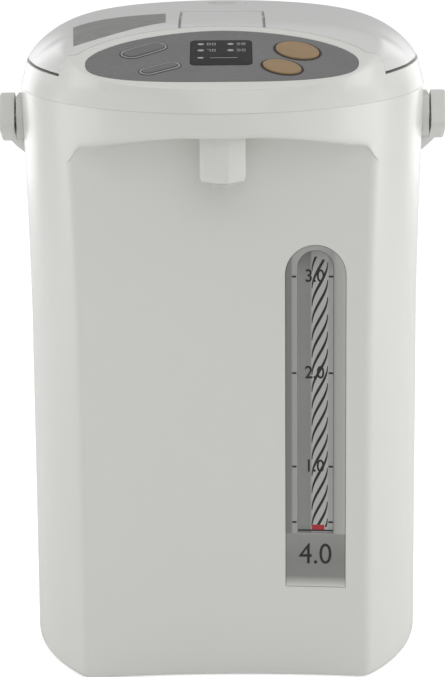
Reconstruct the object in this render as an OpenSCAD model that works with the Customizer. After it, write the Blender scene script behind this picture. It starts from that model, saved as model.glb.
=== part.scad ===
// Electric thermo pot: a heated, insulated water vessel with a pumped front spout,
// a hinged lid, a swinging carry handle and a swivel base.
// Millimetres, Z up, the front faces -Y. The origin is under the middle of the pot's
// box, on the surface that the pot stands on.

/* [Body] */
// Width of the lower body
body_w = 216; // [210:1:224]
// Distance from the widest section to the foremost point of the body
body_front = 137.5; // [134:0.5:142]
// Distance from the widest section to the rear of the body
body_rear = 120; // [118:0.5:124]
// Outward flare of each side between the waist and the collar seam
flare = 3; // [1:0.5:4]
// Height at which the flare starts
flare_start = 190; // [150:5:230]
// Height of the seam between body and collar
seam_z = 315; // [312:1:318]
// Height of the body's lower edge above the table
table_gap = 3; // [2.5:0.5:4]
// Wall thickness of the plastic shells
wall = 2.5; // [2:0.1:3]
// General assembly clearance between separate fixed pieces
fit_gap = 0.3; // [0.2:0.05:0.4]
// Radial clearance of a shaft that turns in a bore
run_gap = 0.05; // [0.02:0.01:0.08]

/* [Front recess] */
// Depth of the recess at its middle, from the body's foremost point to the wall
recess_depth = 46.8; // [44:0.1:50]
// Half width of the recess
recess_half = 80; // [76:1:84]
// Depth of the recess wall's hollow bow
recess_bow = 6; // [4:0.5:8]
// Height of the beak from its lower lip to the seam, at the middle
beak_h = 13; // [12:0.5:16]
// Drop of the lip from the middle to the recess corners
lip_drop = 8.3; // [5:0.1:10]
// Radius of the recess's upper corners
recess_corner = 11; // [8:1:14]

/* [Top] */
// Height of the collar's side, from the seam to the shoulder
collar_h = 10; // [9:0.5:11]
// Rise of the lid's crown above the shoulder
crown_rise = 27; // [24:0.5:30]
// Inward lean of the collar's side from seam to shoulder
collar_lean = 2.5; // [1.5:0.5:3]
// Height of the joint between collar and lid above the shoulder
split_rise = 1; // [0.5:0.5:2]
// Slope of the control panel
panel_slope = 15.9; // [14:0.1:18]
// Distance of the panel's widest line behind the body's foremost point
panel_inset = 36.5; // [34:0.5:39]
// Height of the panel's surface on its widest line, above the shoulder
panel_rise = 12; // [10:0.5:13]

/* [Control panel] */
// Space between the oval panel's ends and the body's outline
panel_edge = 1.8; // [1.5:0.1:5]
// Reach of the oval behind its widest line
panel_back = 42.5; // [40:0.5:44]
// Reach of the oval in front of its widest line
panel_fore = 26; // [24:0.5:27]
// Exponent of the oval's rear half: below 2 it draws to a point at its ends
oval_back = 1.75; // [1.6:0.05:2]
// Exponent of the oval's front half: above 2 it is flat with full ends
oval_fore = 3.3; // [2:0.1:3.6]
// Thickness of the panel
panel_t = 2.6; // [2:0.1:3]
// Width of the display window
display_w = 32.5; // [28:0.5:34]
// Length of the display window along the slope
display_l = 34; // [28:0.5:35]
// Travel of each button
button_travel = 0.8; // [0.5:0.1:1]
// Height of the button caps above the panel
button_proud = 0.9; // [0.6:0.1:1.2]
// Depth of the control board below the panel's surface
board_depth = 12; // [11:0.5:13]

/* [Lid] */
// Width of the band between the panel and the lid's front edge
seam_band = 8; // [7:0.5:9]
// Distance of the lid's front corners behind the panel's widest line
lid_corner = 14; // [12:0.5:17]
// Seam between the lid and the collar
lid_gap = 0.4; // [0.3:0.05:0.6]
// Height of the finger slits at the lid's front corners
slit_h = 1.2; // [0.8:0.1:1.6]
// Half width of the opening lever
lever_half = 23.2; // [20:0.2:25]
// Thickness of the opening lever
lever_t = 3; // [2.5:0.1:3.5]
// Gap in front of the opening lever
lever_gap = 1.2; // [0.8:0.1:1.6]
// Distance of the lever's pin behind the widest section
lever_pin_y = 8; // [4:1:12]
// Radius of the lever's pin
lever_pin_r = 1.5; // [1.2:0.1:1.8]
// Distance of the lid's hinge in front of the body's rear
hinge_inset = 12; // [11:0.5:13]
// Height of the lid's hinge above the shoulder
hinge_rise = 6.5; // [6:0.25:7]
// Radius of the hinge pin
hinge_pin_r = 2; // [1.5:0.1:2.4]
// Radius of the fixed hinge knuckle
knuckle_r = 9.5; // [9:0.1:9.6]
// Half width of the fixed hinge block
block_half = 20; // [17:0.5:22]
// Half length of the hinge pin
hinge_half = 34; // [30:1:40]
// Radius of the steam vent
vent_r = 14; // [11:0.5:16]
// Distance of the steam vent behind the widest section
vent_y = 62; // [56:1:66]

/* [Vessel] */
// Space between the vessel's heat jacket and the body's rear wall
vessel_space = 6.5; // [5:0.5:10]
// Wall thickness of the inner vessel
vessel_t = 1.2; // [0.8:0.1:1.5]
// Distance of the vessel's axis behind the widest section
vessel_y = 26; // [25:0.5:27]
// Space between the pump and the vessel's floor
floor_gap = 9; // [8:0.5:12]
// Distance of the vessel's upper flange below the seam
vessel_drop = 8; // [7:0.5:10]
// Width of the vessel's flange
flange_w = 8; // [5:0.5:8]
// Radius of the filling mouth
mouth_r = 64.5; // [61:0.5:65]
// Radial gap between the vessel and the heat jacket
jacket_gap = 4; // [3:0.5:4.5]
// Height of the band heater's lower edge above the vessel's floor
band_rise = 8; // [4:1:20]
// Height of the band heater
band_h = 26; // [16:1:40]
// Outer radius of the base heater
heater_outer = 37; // [32:1:42]
// Inner radius of the base heater
heater_inner = 20; // [16:1:24]

/* [Pump] */
// Sideways place of the pump
pump_x = 14; // [10:1:18]
// Distance of the pump's axis in front of the widest section
pump_front = 18; // [14:1:22]
// Outer radius of the pump housing
pump_r = 22; // [20:0.5:24]
// Space between the motor and the pump housing, where the magnet turns
magnet_gap = 9; // [8:0.5:11]
// Height of the pump housing
pump_h = 18; // [16:0.5:19]
// Radius of the pump motor
motor_r = 15; // [13:0.5:17]
// Height of the pump motor
motor_h = 22; // [20:0.5:23]
// Outer radius of the water pipes
pipe_r = 4.5; // [4:0.1:5]
// Wall thickness of the water pipes
pipe_t = 1.3; // [1:0.1:1.5]

/* [Gauge] */
// Sideways place of the water gauge
gauge_x = 48.5; // [46:0.5:50]
// Width of the gauge frame
gauge_w = 32; // [30:0.5:33]
// Height of the gauge frame's top
gauge_top = 239; // [230:1:245]
// Height of the gauge frame's bottom
gauge_bottom = 51; // [48:1:56]
// Width of the clear window
window_w = 23.4; // [21:0.2:25]
// Height of the window's lower edge
window_bottom = 81.5; // [78:0.5:84]
// Distance of the gauge tube's axis behind the recess wall's middle
tube_back = 10.7; // [9:0.1:13]
// Outer radius of the glass gauge tube
tube_r = 5; // [4.5:0.1:5.5]

/* [Spout] */
// Distance of the nozzle's axis behind the body's foremost point
spout_inset = 20.5; // [18:0.5:24]
// Width of the spout housing
spout_w = 23.5; // [21:0.5:26]
// Height of the spout housing, from its underside to the beak's lip
spout_h = 24.5; // [20:0.5:27]
// Radius of the nozzle's bore
nozzle_bore = 4.5; // [4:0.1:5]
// Wall thickness of the nozzle
nozzle_t = 1.6; // [1.2:0.1:2]

/* [Handle] */
// Distance of the handle's pivots below the seam
pivot_drop = 19; // [16:1:23]
// Radius of the pivot pins
pivot_r = 4; // [3:0.5:5]
// Space between the body's widest side and the handle's arms
handle_gap = 4; // [3.5:0.25:6]
// Space between the body's rear and the hanging grip
grip_gap = 2; // [1.5:0.25:5]
// Width of the grip in the handle's plane
grip_w = 11; // [8:0.5:11.5]
// Thickness of the grip
grip_t = 12; // [9:0.5:13]
// Thickness of the handle's arms
arm_t = 8.5; // [7:0.5:8.5]
// Height of the handle's end blocks
ear_h = 22; // [18:1:24]
// Angle below the horizontal at which the handle hangs
handle_droop = 25; // [25:0.5:28]

/* [Base] */
// Radius of the swivel base
swivel_r = 80; // [74:1:82]
// Height of the base cover's underside
cover_z = 6.5; // [6:0.5:8]
// Height of the non-slip foot ring
foot_h = 1.5; // [1:0.1:2]
// Radius of the swivel spigot
spigot_r = 10; // [8:0.5:12]
// Radius of the base screws
screw_r = 2; // [1.5:0.1:2.2]

/* [Hidden] */

// Smoothness of true circles
fine = 96;
// Points round the body's outline
plan_steps = 60;
// Something longer than the pot in every direction
far = 500;
// Overlap that lets a cut run clear through a face
cut = 1;

// Half of the lower body's width
body_half = body_w / 2;
// The body's flare grows from the waist through this share at mid height
flare_mid_share = 0.4;
// Height where the flare reaches its middle share
flare_mid_z = flare_start + (seam_z - flare_start) / 2;
// Rounding of the body's lower edge
edge_round = 3;
// Heights that follow from the seam
rim_z = seam_z + collar_h;
crown_z = rim_z + crown_rise;
split_z = rim_z + split_rise;
panel_z = rim_z + panel_rise;
hinge_z = rim_z + hinge_rise;
lip_z = seam_z - beak_h;
spout_z = lip_z - spout_h;
vessel_top = seam_z - vessel_drop;
pivot_z = seam_z - pivot_drop;
// Distances from the widest section that follow from the body's front and rear
panel_front = body_front - panel_inset;
recess_front = body_front - recess_depth;
spout_front = body_front - spout_inset;
tube_front = recess_front - tube_back;
lid_front = panel_front - lid_corner;
hinge_y = body_rear - hinge_inset;
// Half width of the panel: up to the outline on its widest line
panel_half = body_half * sqrt(1 - pow(panel_front / body_front, 2)) - panel_edge;
// The heat jacket is as wide as the space behind it leaves, and the vessel stands inside it
jacket_t = 1;
vessel_r = body_rear - wall - vessel_space - jacket_t - jacket_gap - vessel_y;
// Radius of the recess wall, from its bow and half width
recess_r = (pow(recess_half, 2) + pow(recess_bow, 2)) / (2 * recess_bow);
// Inset of the outline at the collar's shoulder
rim_inset = collar_lean - flare;
// Softness of the blend between the crown and the sloped front
blend = 1.6;
// Exponents of the crown's rounding: fuller at the front corners than at the rear
crown_n = 2.6;
crown_front_n = 9;
crown_m = 2.2;
// Where the crown starts to fill out, and the length over which it does
fill_start = -35;
fill_length = 55;
// Rings of the crown, as shares of the outline
crown_rings = [0.985, 0.96, 0.92, 0.86, 0.78, 0.66, 0.5, 0.3];

// Thickness of the collar's deck under the lid
deck_t = 2.6;
deck_top = split_z - lid_gap;
deck_low = deck_top - deck_t;
// Width of the gasket and its place round the mouth
gasket_w = 4.5;
gasket_r = mouth_r + 0.5;
deck_hole_r = gasket_r + gasket_w + 1;
// The lid liner's plate
liner_low = split_z + 0.2;
liner_t = 2;
liner_top = liner_low + liner_t;
plug_r = mouth_r - 4.5;
plug_low = deck_top - 12;

// The handle
arm_inner = body_half + flare + handle_gap;
handle_w = 2 * (arm_inner + arm_t);
boss_gap = 1.1;
boss_face = arm_inner - boss_gap;
handle_inner_reach = (body_rear + flare + grip_gap) / cos(handle_droop);
handle_reach = handle_inner_reach + grip_w;
rear_reach = handle_reach * cos(handle_droop) + grip_t / 2 * sin(handle_droop);
// Shift that puts the middle of the pot's box over the origin
shift_y = (body_front + flare - rear_reach) / 2;

// Places worked out from the driving sizes
pump_y = -pump_front;
tube_y = -tube_front;
spout_y = -spout_front;
cover_t = 2.5;
cover_top = cover_z + cover_t;
swivel_top = cover_z;
pump_z = cover_top + motor_h + magnet_gap;
pump_top = pump_z + pump_h;
vessel_floor = pump_top + floor_gap;
pump_out_z = pump_z + pump_h / 2 - 1;
pump_floor = 2.5;
lever_pin_z = crown_z - lever_t - 0.6;
nozzle_z = spout_z - 2.5;
pipe_top_z = seam_z - 4;
tube_low_z = pump_out_z + 12;
tube_top_z = lip_z - 5;
flange_t = 1.5;
ceiling_top = lip_z + wall;

// Depth of the finger slits into the lid's edge
slit_depth = 9;
// Lid's rear edge: rounded about the hinge within this half width
lid_rear_r = 7;
hinge_well = 50;
// Notch in the lid round the fixed hinge knuckle
notch_r = knuckle_r + 0.7;
// The release button in the knuckle
release_half = 8;
release_travel = 2;
release_floor = hinge_z + hinge_pin_r + 1.2;
release_low = release_floor + release_travel + 0.2;
release_front = hinge_y - 5;
release_rear = hinge_y + 4;
// Lid latch
latch_half = 8;
latch_low = liner_top + 0.3;
latch_high = latch_low + 6;
latch_mid = (latch_low + latch_high) / 2;
latch_front = -panel_front + panel_back * cos(panel_slope) + seam_band + 1;
latch_back = latch_front + 30;
latch_travel = 4;
spring_r = 1.8;
spring_l = 14;
spring_back = latch_back + latch_travel + 1;
// Steam vent: the seat of its cap and the inside of its boss
vent_seat = 343.5;
vent_bore = vent_r - 2.5;
// Control panel's parts, in the panel's plane
board_t = 1.6;
board_top = -board_depth + board_t;
button_low = -panel_t - 2.8;
button_gap = 0.35;
display_gap = 0.15;
display_y = 12;
upper_x = 40;
upper_y = 14.5;
lower_x = 31;
lower_y = -9;
button_tilt = 21;
dispense_rx = 13;
dispense_ry = 11.2;
unlock_rx = 11.3;
unlock_ry = 10;
boil_l = 26.5;
temperature_l = 23;
pill_w = 11;
// Spout, pump and heater details
spout_top = lip_z;
axle_r = 2;
pump_inlet_r = 6;
shaft_r = 1.5;
seal_t = 0.8;
heater_t = 6;
nose_half = 3.2;
nose_l = 7;
// Main board on the base cover
board_x = -58;
board_y = 5;
board_w = 64;
board_l = 60;
board_z = 16;
wire_z = 33;
wire_r = 1.3;
// Rise of the heater's wires over the others
wire_rise = 12;
// Places of the wires' ends and the capacitor, from the board's middle
live_x = 20;
live_y = 24;
neutral_x = 26;
neutral_y = 16;
capacitor_x = 14;
capacitor_y = 16;
// Parts on the main board: width, length and height of each block, and the capacitor
relay = [22, 20, 18];
choke = [12, 20, 15];
connector = [20, 10, 12];
capacitor_r = 8;
capacitor_h = 20;
// Power inlet in the rear wall
inlet_half = 20;
inlet_low = 22;
inlet_high = inlet_low + 24;
inlet_back = body_rear - 10;
pin_z = inlet_low + 7;
// Handle details
ear_back = 15;
boss_w = 22;
boss_h2 = 23;
pin_start = body_half - 0.6;

// ---------- outlines and shared forms ----------

// Half depth of the body's outline at an angle: the front is deeper than the rear
function half_depth(a) = sin(a) < 0 ? body_front : body_rear;

// A point of the body's outline, drawn in by inset
function plan_point(a, inset) = [(body_half - inset) * cos(a), (half_depth(a) - inset) * sin(a)];

// The closed outline, as a list of points
function plan_ring(inset) = [for (i = [0 : plan_steps - 1]) plan_point(360 * i / plan_steps, inset)];

// Soft minimum of two heights
function soft_min(a, b) = min(a, b) - blend * ln(1 + exp(-abs(a - b) / blend));

// Share of the front corners' fullness at a distance from the widest section
function fullness(y) = let (t = max(0, min(1, (fill_start - y) / fill_length))) t * t * (3 - 2 * t);

// Height of the crown at a share r of the outline
function crown(r, y) = let (n = crown_n + (crown_front_n - crown_n) * fullness(y))
    rim_z + (crown_z - rim_z) * pow(1 - pow(r, n), 1 / crown_m);

// Height of the sloped front's plane
function slope_height(y) = panel_z + (y + panel_front) * tan(panel_slope);

// Height of the pot's top at a share r of the outline
function top_height(r, y) = soft_min(crown(r, y), slope_height(y));

// Inset of the body at a height above the waist
function flare_inset(z) = z <= flare_start ? 0
    : z <= flare_mid_z ? -flare * flare_mid_share * (z - flare_start) / (flare_mid_z - flare_start)
    : -flare * (flare_mid_share + (1 - flare_mid_share) * (z - flare_mid_z) / (seam_z - flare_mid_z));

// A closed skin over rings of points, with a flat bottom, and an apex or a flat top
module skin(rings, apex) {
    n = len(rings[0]);
    m = len(rings);
    flat = is_undef(apex);
    points = concat([for (r = rings) each r], flat ? [] : [apex]);
    sides = [for (k = [0 : m - 2], i = [0 : n - 1])
        [k * n + i, (k + 1) * n + i, (k + 1) * n + (i + 1) % n, k * n + (i + 1) % n]];
    bottom = [[for (i = [0 : n - 1]) i]];
    top = flat ? [[for (i = [0 : n - 1]) m * n - 1 - i]]
        : [for (i = [0 : n - 1]) [(m - 1) * n + i, m * n, (m - 1) * n + (i + 1) % n]];
    polyhedron(points = points, faces = concat(sides, bottom, top));
}

// A ring of the body at one height
function body_ring(z, inset) = [for (p = plan_ring(inset + flare_inset(z))) [p[0], p[1], z]];

// The body's outer form, drawn in by inset, from its lower edge to the seam
module body_form(inset, low, high) {
    skin([
        body_ring(low, inset + (inset > 0 ? 0 : edge_round / 2)),
        body_ring(table_gap + edge_round / 2, inset + (inset > 0 ? 0 : edge_round / 6)),
        body_ring(table_gap + edge_round, inset),
        body_ring(flare_start, inset),
        body_ring(flare_mid_z, inset),
        [for (p = plan_ring(inset - flare)) [p[0], p[1], high]]
    ]);
}

// The top's outer form, drawn in and lowered by inset, from a height up to the crown
module top_form(inset, low) {
    rim = plan_ring(rim_inset + inset);
    wall_ring = [for (p = plan_ring(inset - flare)) [p[0], p[1], low]];
    rim_ring = [for (p = rim) [p[0], p[1], top_height(1, p[1]) - inset]];
    dome = [for (r = crown_rings) [for (p = rim) [r * p[0], r * p[1], top_height(r, r * p[1]) - inset]]];
    skin(concat([wall_ring, rim_ring], dome), [0, 0, top_height(0, 0) - inset]);
}

// A straight block over the body's outline
module plan_block(inset, low, high) {
    translate([0, 0, low]) linear_extrude(high - low) polygon(plan_ring(inset));
}

// A power that keeps the sign of its base
function signed_pow(v, p) = sign(v) * pow(abs(v), p);

// The outline of the control panel, grown by grow and foreshortened by share along its depth
function oval_points(grow, share) = [for (i = [0 : plan_steps - 1])
    let (a = 360 * i / plan_steps, front = sin(a) < 0,
        power = 2 / (front ? oval_fore : oval_back),
        depth = (front ? panel_fore : panel_back) * share + grow)
    [(panel_half + grow) * signed_pow(cos(a), power), depth * signed_pow(sin(a), power)]];

// The oval of the control panel in its own plane, grown by grow
module oval(grow) {
    polygon(oval_points(grow, 1));
}

// Moves its children into the panel's sloped plane
module on_panel() {
    translate([0, -panel_front, panel_z]) rotate([panel_slope, 0, 0]) children();
}

// The zone in front of the lid: the oval's surround, open to the front
module seam_oval(grow) {
    translate([0, -panel_front, 0]) linear_extrude(far)
        polygon(oval_points(grow, cos(panel_slope)));
}

// The space that the lid fills, drawn in by inset
module lid_zone(inset, low) {
    difference() {
        translate([-far / 2, inset - lid_front, low]) cube([far, far, far]);
        seam_oval(seam_band + inset);
    }
}

// The space round the hinge where the lid's rear edge swings
module hinge_zone(radius, half) {
    difference() {
        translate([-half, hinge_y, 0]) cube([2 * half, far, far]);
        translate([0, hinge_y, hinge_z]) rotate([0, 90, 0])
            cylinder(r = radius, h = far, center = true, $fn = fine);
    }
}

// A bar along X round an axis at (y, z)
module x_bar(y, z, radius, from, to) {
    translate([from, y, z]) rotate([0, 90, 0]) cylinder(r = radius, h = to - from, $fn = fine);
}

// An upright round bar
module z_bar(x, y, low, high, radius) {
    translate([x, y, low]) cylinder(r = radius, h = high - low, $fn = fine);
}

// An upright ring
module z_ring(x, y, low, high, outer, inner) {
    difference() {
        z_bar(x, y, low, high, outer);
        z_bar(x, y, low - cut, high + cut, inner);
    }
}

// A block between two corners
module block(a, b) {
    translate(a) cube(b - a);
}

// The outline of the front recess, grown by grow: an arch with round corners
module recess_outline(grow) {
    half = recess_half + grow;
    flat = half - recess_corner;
    end_z = lip_z + grow - lip_drop;
    low = [for (side = [-1, 1]) [side * half, -far / 8]];
    left = [for (i = [0 : 5]) let (a = 180 - 15 * i)
        [-flat + recess_corner * cos(a), end_z - recess_corner * (1 - sin(a))]];
    arch = [for (i = [-8 : 8]) [flat * i / 8, lip_z + grow - lip_drop * pow(max(0, abs(i) - 2) / 6, 1.6)]];
    right = [for (i = [1 : 6]) let (a = 90 - 15 * i)
        [flat + recess_corner * cos(a), end_z - recess_corner * (1 - sin(a))]];
    polygon(concat([low[0]], left, arch, right, [low[1]]));
}

// The space in front of the recess wall, under the beak
module recess_void(grow) {
    intersection() {
        translate([0, -recess_front + far / 2, 0]) rotate([90, 0, 0])
            linear_extrude(far) recess_outline(grow);
        z_bar(0, -recess_front - recess_r, -far / 2, far, recess_r + grow);
    }
}

// The gauge's outline in the front plane: round at the top, flat at the bottom
module gauge_outline(width, low, high) {
    r = width / 2;
    polygon(concat(
        [[gauge_x - r, low], [gauge_x + r, low]],
        [for (i = [0 : 16]) let (a = 180 * i / 16) [gauge_x + r * cos(a), high - r + r * sin(a)]]));
}

// A slab of the recess wall's curve, cut to an outline: between two depths behind its face
module wall_slab(front, back) {
    intersection() {
        translate([0, -recess_front + far / 8, 0]) rotate([90, 0, 0]) linear_extrude(far / 4) children();
        z_ring(0, -recess_front - recess_r, 0, far, recess_r + back, recess_r + front);
    }
}

// A pipe or wire along a line of points, with a ball at each corner
module run_of(points, radius) {
    for (i = [0 : len(points) - 2]) {
        v = points[i + 1] - points[i];
        length = norm(v);
        translate(points[i]) rotate([0, acos(v[2] / length), atan2(v[1], v[0])])
            cylinder(r = radius, h = length, $fn = 32);
    }
    if (len(points) > 2)
        for (i = [1 : len(points) - 2])
            translate(points[i]) sphere(r = radius * 1.06, $fn = 32);
}

// A hollow pipe along a line of points that runs on past its ends
module pipe(points) {
    difference() {
        run_of(points, pipe_r);
        run_of(points, pipe_r - pipe_t);
    }
}

// Puts the pot's middle over the origin
module place() {
    translate([0, shift_y, 0]) children();
}

// ---------- body and base ----------

// Angles of the base screws round the outline
screw_angles = [32, 148, 215, 325];
screw_inset = wall + 4;
boss_r = 5;
boss_h = 16;

module body_shell() {
    color([0.93, 0.93, 0.92]) place() {
        difference() {
            body_form(0, table_gap, seam_z);
            recess_void(0);
            difference() {
                body_form(wall, table_gap - cut, seam_z + cut);
                recess_void(wall);
            }
            // Window of the water gauge
            translate([0, -recess_front + wall * 4, 0]) rotate([90, 0, 0]) linear_extrude(wall * 8)
                gauge_outline(gauge_w + 2 * fit_gap, gauge_bottom - fit_gap, gauge_top + fit_gap);
            // Hole for the nozzle in the beak's ceiling
            z_bar(0, spout_y, lip_z - lip_drop, ceiling_top + cut, nozzle_bore + nozzle_t + fit_gap);
            // Holes for the handle's pins
            for (side = [-1, 1])
                x_bar(0, pivot_z, pivot_r + run_gap, side > 0 ? body_half - 10 : -body_half - 10,
                    side > 0 ? body_half + 10 : -body_half + 10);
            // Opening for the power inlet
            block([-inlet_half - fit_gap, body_rear / 2, inlet_low - fit_gap],
                [inlet_half + fit_gap, body_rear + cut, inlet_high + fit_gap]);
        }
        for (a = screw_angles)
            let (p = plan_point(a, screw_inset))
            z_ring(p[0], p[1], cover_top, cover_top + boss_h, boss_r, screw_r + run_gap);
    }
}

module base_cover() {
    color([0.3, 0.3, 0.32]) place() {
        difference() {
            union() {
                difference() {
                    plan_block(wall + fit_gap, cover_z, cover_top);
                    recess_void(wall + fit_gap);
                }
                // Spigot of the swivel base
                z_bar(0, 0, swivel_step + 0.1, cover_z + 0.1, spigot_r);
                // Posts under the pump
                for (a = [60, 180, 300])
                    z_bar(pump_x + (pump_r + 3) * cos(a), pump_y + (pump_r + 3) * sin(a),
                        cover_top - 0.1, pump_z, 2.5);
                // Posts under the main board
                for (x = [-1, 1], y = [-1, 1])
                    z_bar(board_x + x * (board_w / 2 - 4), board_y + y * (board_l / 2 - 4),
                        cover_top - 0.1, board_z, 3);
            }
            z_bar(0, 0, 0, cover_top + cut, 4);
            for (a = screw_angles)
                let (p = plan_point(a, screw_inset))
                z_bar(p[0], p[1], 0, cover_top + cut, screw_r + run_gap);
        }
    }
}

module base_screws() {
    color([0.7, 0.7, 0.72]) place()
        for (a = screw_angles)
            let (p = plan_point(a, screw_inset))
            translate([p[0], p[1], 0]) {
                difference() {
                    z_bar(0, 0, cover_z - 1.5, cover_z, 2 * screw_r);
                    // Cross slots in the head
                    block([-1.6, -0.4, cover_z - 2], [1.6, 0.4, cover_z - 0.8]);
                    block([-0.4, -1.6, cover_z - 2], [0.4, 1.6, cover_z - 0.8]);
                }
                z_bar(0, 0, cover_z, cover_top + boss_h - 2, screw_r);
            }
}

// Step inside the swivel base that its retainer bears on
swivel_step = foot_h + 1.8;

module swivel_base() {
    color([0.28, 0.28, 0.3]) place()
        difference() {
            union() {
                z_bar(0, 0, foot_h, swivel_top - 1.5, swivel_r);
                // Raised track that the base cover glides on
                z_ring(0, 0, swivel_top - 1.6, swivel_top, swivel_r - 6, swivel_r - 12);
                z_bar(0, 0, swivel_top - 1.6, swivel_top, spigot_r + 8);
            }
            z_bar(0, 0, 0, swivel_top + cut, spigot_r + run_gap);
            z_bar(0, 0, 0, swivel_step, spigot_r + 5);
        }
}

module swivel_retainer() {
    color([0.75, 0.75, 0.77]) place()
        difference() {
            union() {
                z_bar(0, 0, foot_h + 0.3, swivel_step - 0.1, spigot_r + 4.6);
                z_bar(0, 0, swivel_step - 0.2, cover_top - 0.3, 3.9);
                z_bar(0, 0, swivel_step - 0.2, swivel_step + 0.1, spigot_r - 2);
            }
            z_bar(0, 0, 0, foot_h + 1, 3);
        }
}

module foot_ring() {
    color([0.2, 0.2, 0.21]) place()
        z_ring(0, 0, 0, foot_h, swivel_r - 3, swivel_r - 15);
}

// ---------- collar and control panel ----------

// Where the collar's inside follows the lid's seam
module front_zone(grow) {
    union() {
        seam_oval(grow);
        translate([-far / 2, -far - lid_front + grow - seam_band, 0]) cube([far, far, far]);
    }
}

module collar() {
    color([0.92, 0.92, 0.91]) place() {
        difference() {
            top_form(0, seam_z);
            // Seat of the lid
            lid_zone(-lid_gap, deck_top);
            // Finger slits under the lid's front corners
            difference() {
                block([-far / 2, -lid_front, split_z - slit_h], [far / 2, 0, deck_top + cut]);
                plan_block(slit_depth, seam_z, deck_top + 2 * cut);
            }
            // Hollow inside
            difference() {
                top_form(wall, seam_z - cut);
                difference() {
                    block([-far / 2, -far / 2, deck_low], [far / 2, far / 2, far]);
                    front_zone(seam_band - wall);
                }
            }
            // Filling mouth
            z_bar(0, vessel_y, seam_z, deck_top + cut, deck_hole_r);
            // Seat of the control panel
            on_panel() translate([0, 0, -panel_t - 0.2]) linear_extrude(panel_t * 8) oval(fit_gap);
            // Grooves that the lid's rear edge turns in
            x_bar(hinge_y, hinge_z, lid_rear_r + lid_gap, block_half + 0.7, hinge_well + cut);
            x_bar(hinge_y, hinge_z, lid_rear_r + lid_gap, -hinge_well - cut, -block_half - 0.7);
            // Catch of the lid's latch
            block([-latch_half - 1, latch_front - 6, latch_low - 1],
                [latch_half + 1, latch_front + 3, latch_high + 1]);
        }
        // Ledge under the control panel
        on_panel() translate([0, 0, -panel_t - 2.4]) linear_extrude(2.2)
            difference() {
                oval(wall);
                oval(-2);
            }
        // Lip that centres the collar in the body
        difference() {
            union() {
                plan_block(wall / 2 - flare, seam_z, seam_z + 2);
                plan_block(wall + fit_gap - flare, seam_z - 5, seam_z + 0.5);
            }
            plan_block(2 * wall + fit_gap - flare, seam_z - 6, seam_z + 3);
        }
    }
}

// Outline of a button, the same for the button and its hole
module ellipse(rx, ry) {
    polygon([for (i = [0 : 35]) [rx * cos(10 * i), ry * sin(10 * i)]]);
}

module pill(length, width) {
    r = width / 2;
    half = length / 2 - r;
    polygon(concat(
        [for (i = [0 : 12]) let (a = 90 - 15 * i) [half + r * cos(a), r * sin(a)]],
        [for (i = [0 : 12]) let (a = 270 - 15 * i) [-half + r * cos(a), r * sin(a)]]));
}

// Puts a button's outline in its place on the panel, grown by grow
module at_dispense(grow) {
    translate([upper_x, upper_y]) rotate(-button_tilt) ellipse(dispense_rx + grow, dispense_ry + grow);
}

module at_unlock(grow) {
    translate([lower_x, lower_y]) rotate(-button_tilt) ellipse(unlock_rx + grow, unlock_ry + grow);
}

module at_boil(grow) {
    translate([-upper_x, upper_y]) rotate(button_tilt) pill(boil_l + 2 * grow, pill_w + 2 * grow);
}

module at_temperature(grow) {
    translate([-lower_x, lower_y]) rotate(button_tilt) pill(temperature_l + 2 * grow, pill_w + 2 * grow);
}

module at_display(grow) {
    translate([-display_w / 2 - grow, display_y - display_l / 2 - grow])
        square([display_w + 2 * grow, display_l + 2 * grow]);
}

module control_panel() {
    color([0.44, 0.44, 0.45]) place() on_panel()
        difference() {
            translate([0, 0, -panel_t]) linear_extrude(panel_t) oval(0);
            translate([0, 0, -panel_t - cut]) linear_extrude(panel_t + 2 * cut) {
                at_display(display_gap);
                at_dispense(button_gap);
                at_unlock(button_gap);
                at_boil(button_gap);
                at_temperature(button_gap);
            }
        }
}

module display_window() {
    color([0.14, 0.14, 0.15]) place() on_panel()
        translate([0, 0, -panel_t + 0.4]) linear_extrude(panel_t - 0.4) at_display(0);
}

module display_module() {
    color([0.1, 0.2, 0.12]) place() on_panel()
        translate([0, display_y, (board_top - panel_t + 0.1) / 2])
            cube([display_w - 4, display_l - 4, -panel_t + 0.1 - board_top], center = true);
}

module control_board() {
    color([0.1, 0.35, 0.2]) place() on_panel() {
        translate([0, 0, -board_depth]) linear_extrude(board_t)
            difference() {
                oval(-10);
                translate([-panel_half, -panel_fore]) square([2 * panel_half, 8]);
            }
        // Spacers up to the panel
        for (x = [-1, 1])
            z_bar(x * (panel_half - 16), 3, board_top - 0.1, -panel_t, 2);
    }
}

module key_switches() {
    color([0.1, 0.1, 0.1]) place() on_panel()
        for (p = [[upper_x, upper_y], [lower_x, lower_y], [-upper_x, upper_y], [-lower_x, lower_y]])
            translate([p[0], p[1], board_top]) {
                translate([-3, -3, 0]) cube([6, 6, 2.5]);
                z_bar(0, 0, 2.4, button_low - board_top - button_travel - 0.2, 1.7);
            }
}

// A button cap with the flange that holds it under the panel
module button_cap() {
    translate([0, 0, button_low]) linear_extrude(button_proud - button_low) children(0);
    translate([0, 0, -panel_t - 1.5]) linear_extrude(1.2) children(1);
}

module dispense_button() {
    color([0.85, 0.66, 0.36]) place() on_panel() button_cap() { at_dispense(0); at_dispense(1.2); }
}

module unlock_button() {
    color([0.85, 0.66, 0.36]) place() on_panel() button_cap() { at_unlock(0); at_unlock(1.2); }
}

module boil_button() {
    color([0.48, 0.48, 0.49]) place() on_panel() button_cap() { at_boil(0); at_boil(1.2); }
}

module temperature_button() {
    color([0.48, 0.48, 0.49]) place() on_panel() button_cap() { at_temperature(0); at_temperature(1.2); }
}

// ---------- spout, gauge and water path ----------

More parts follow.
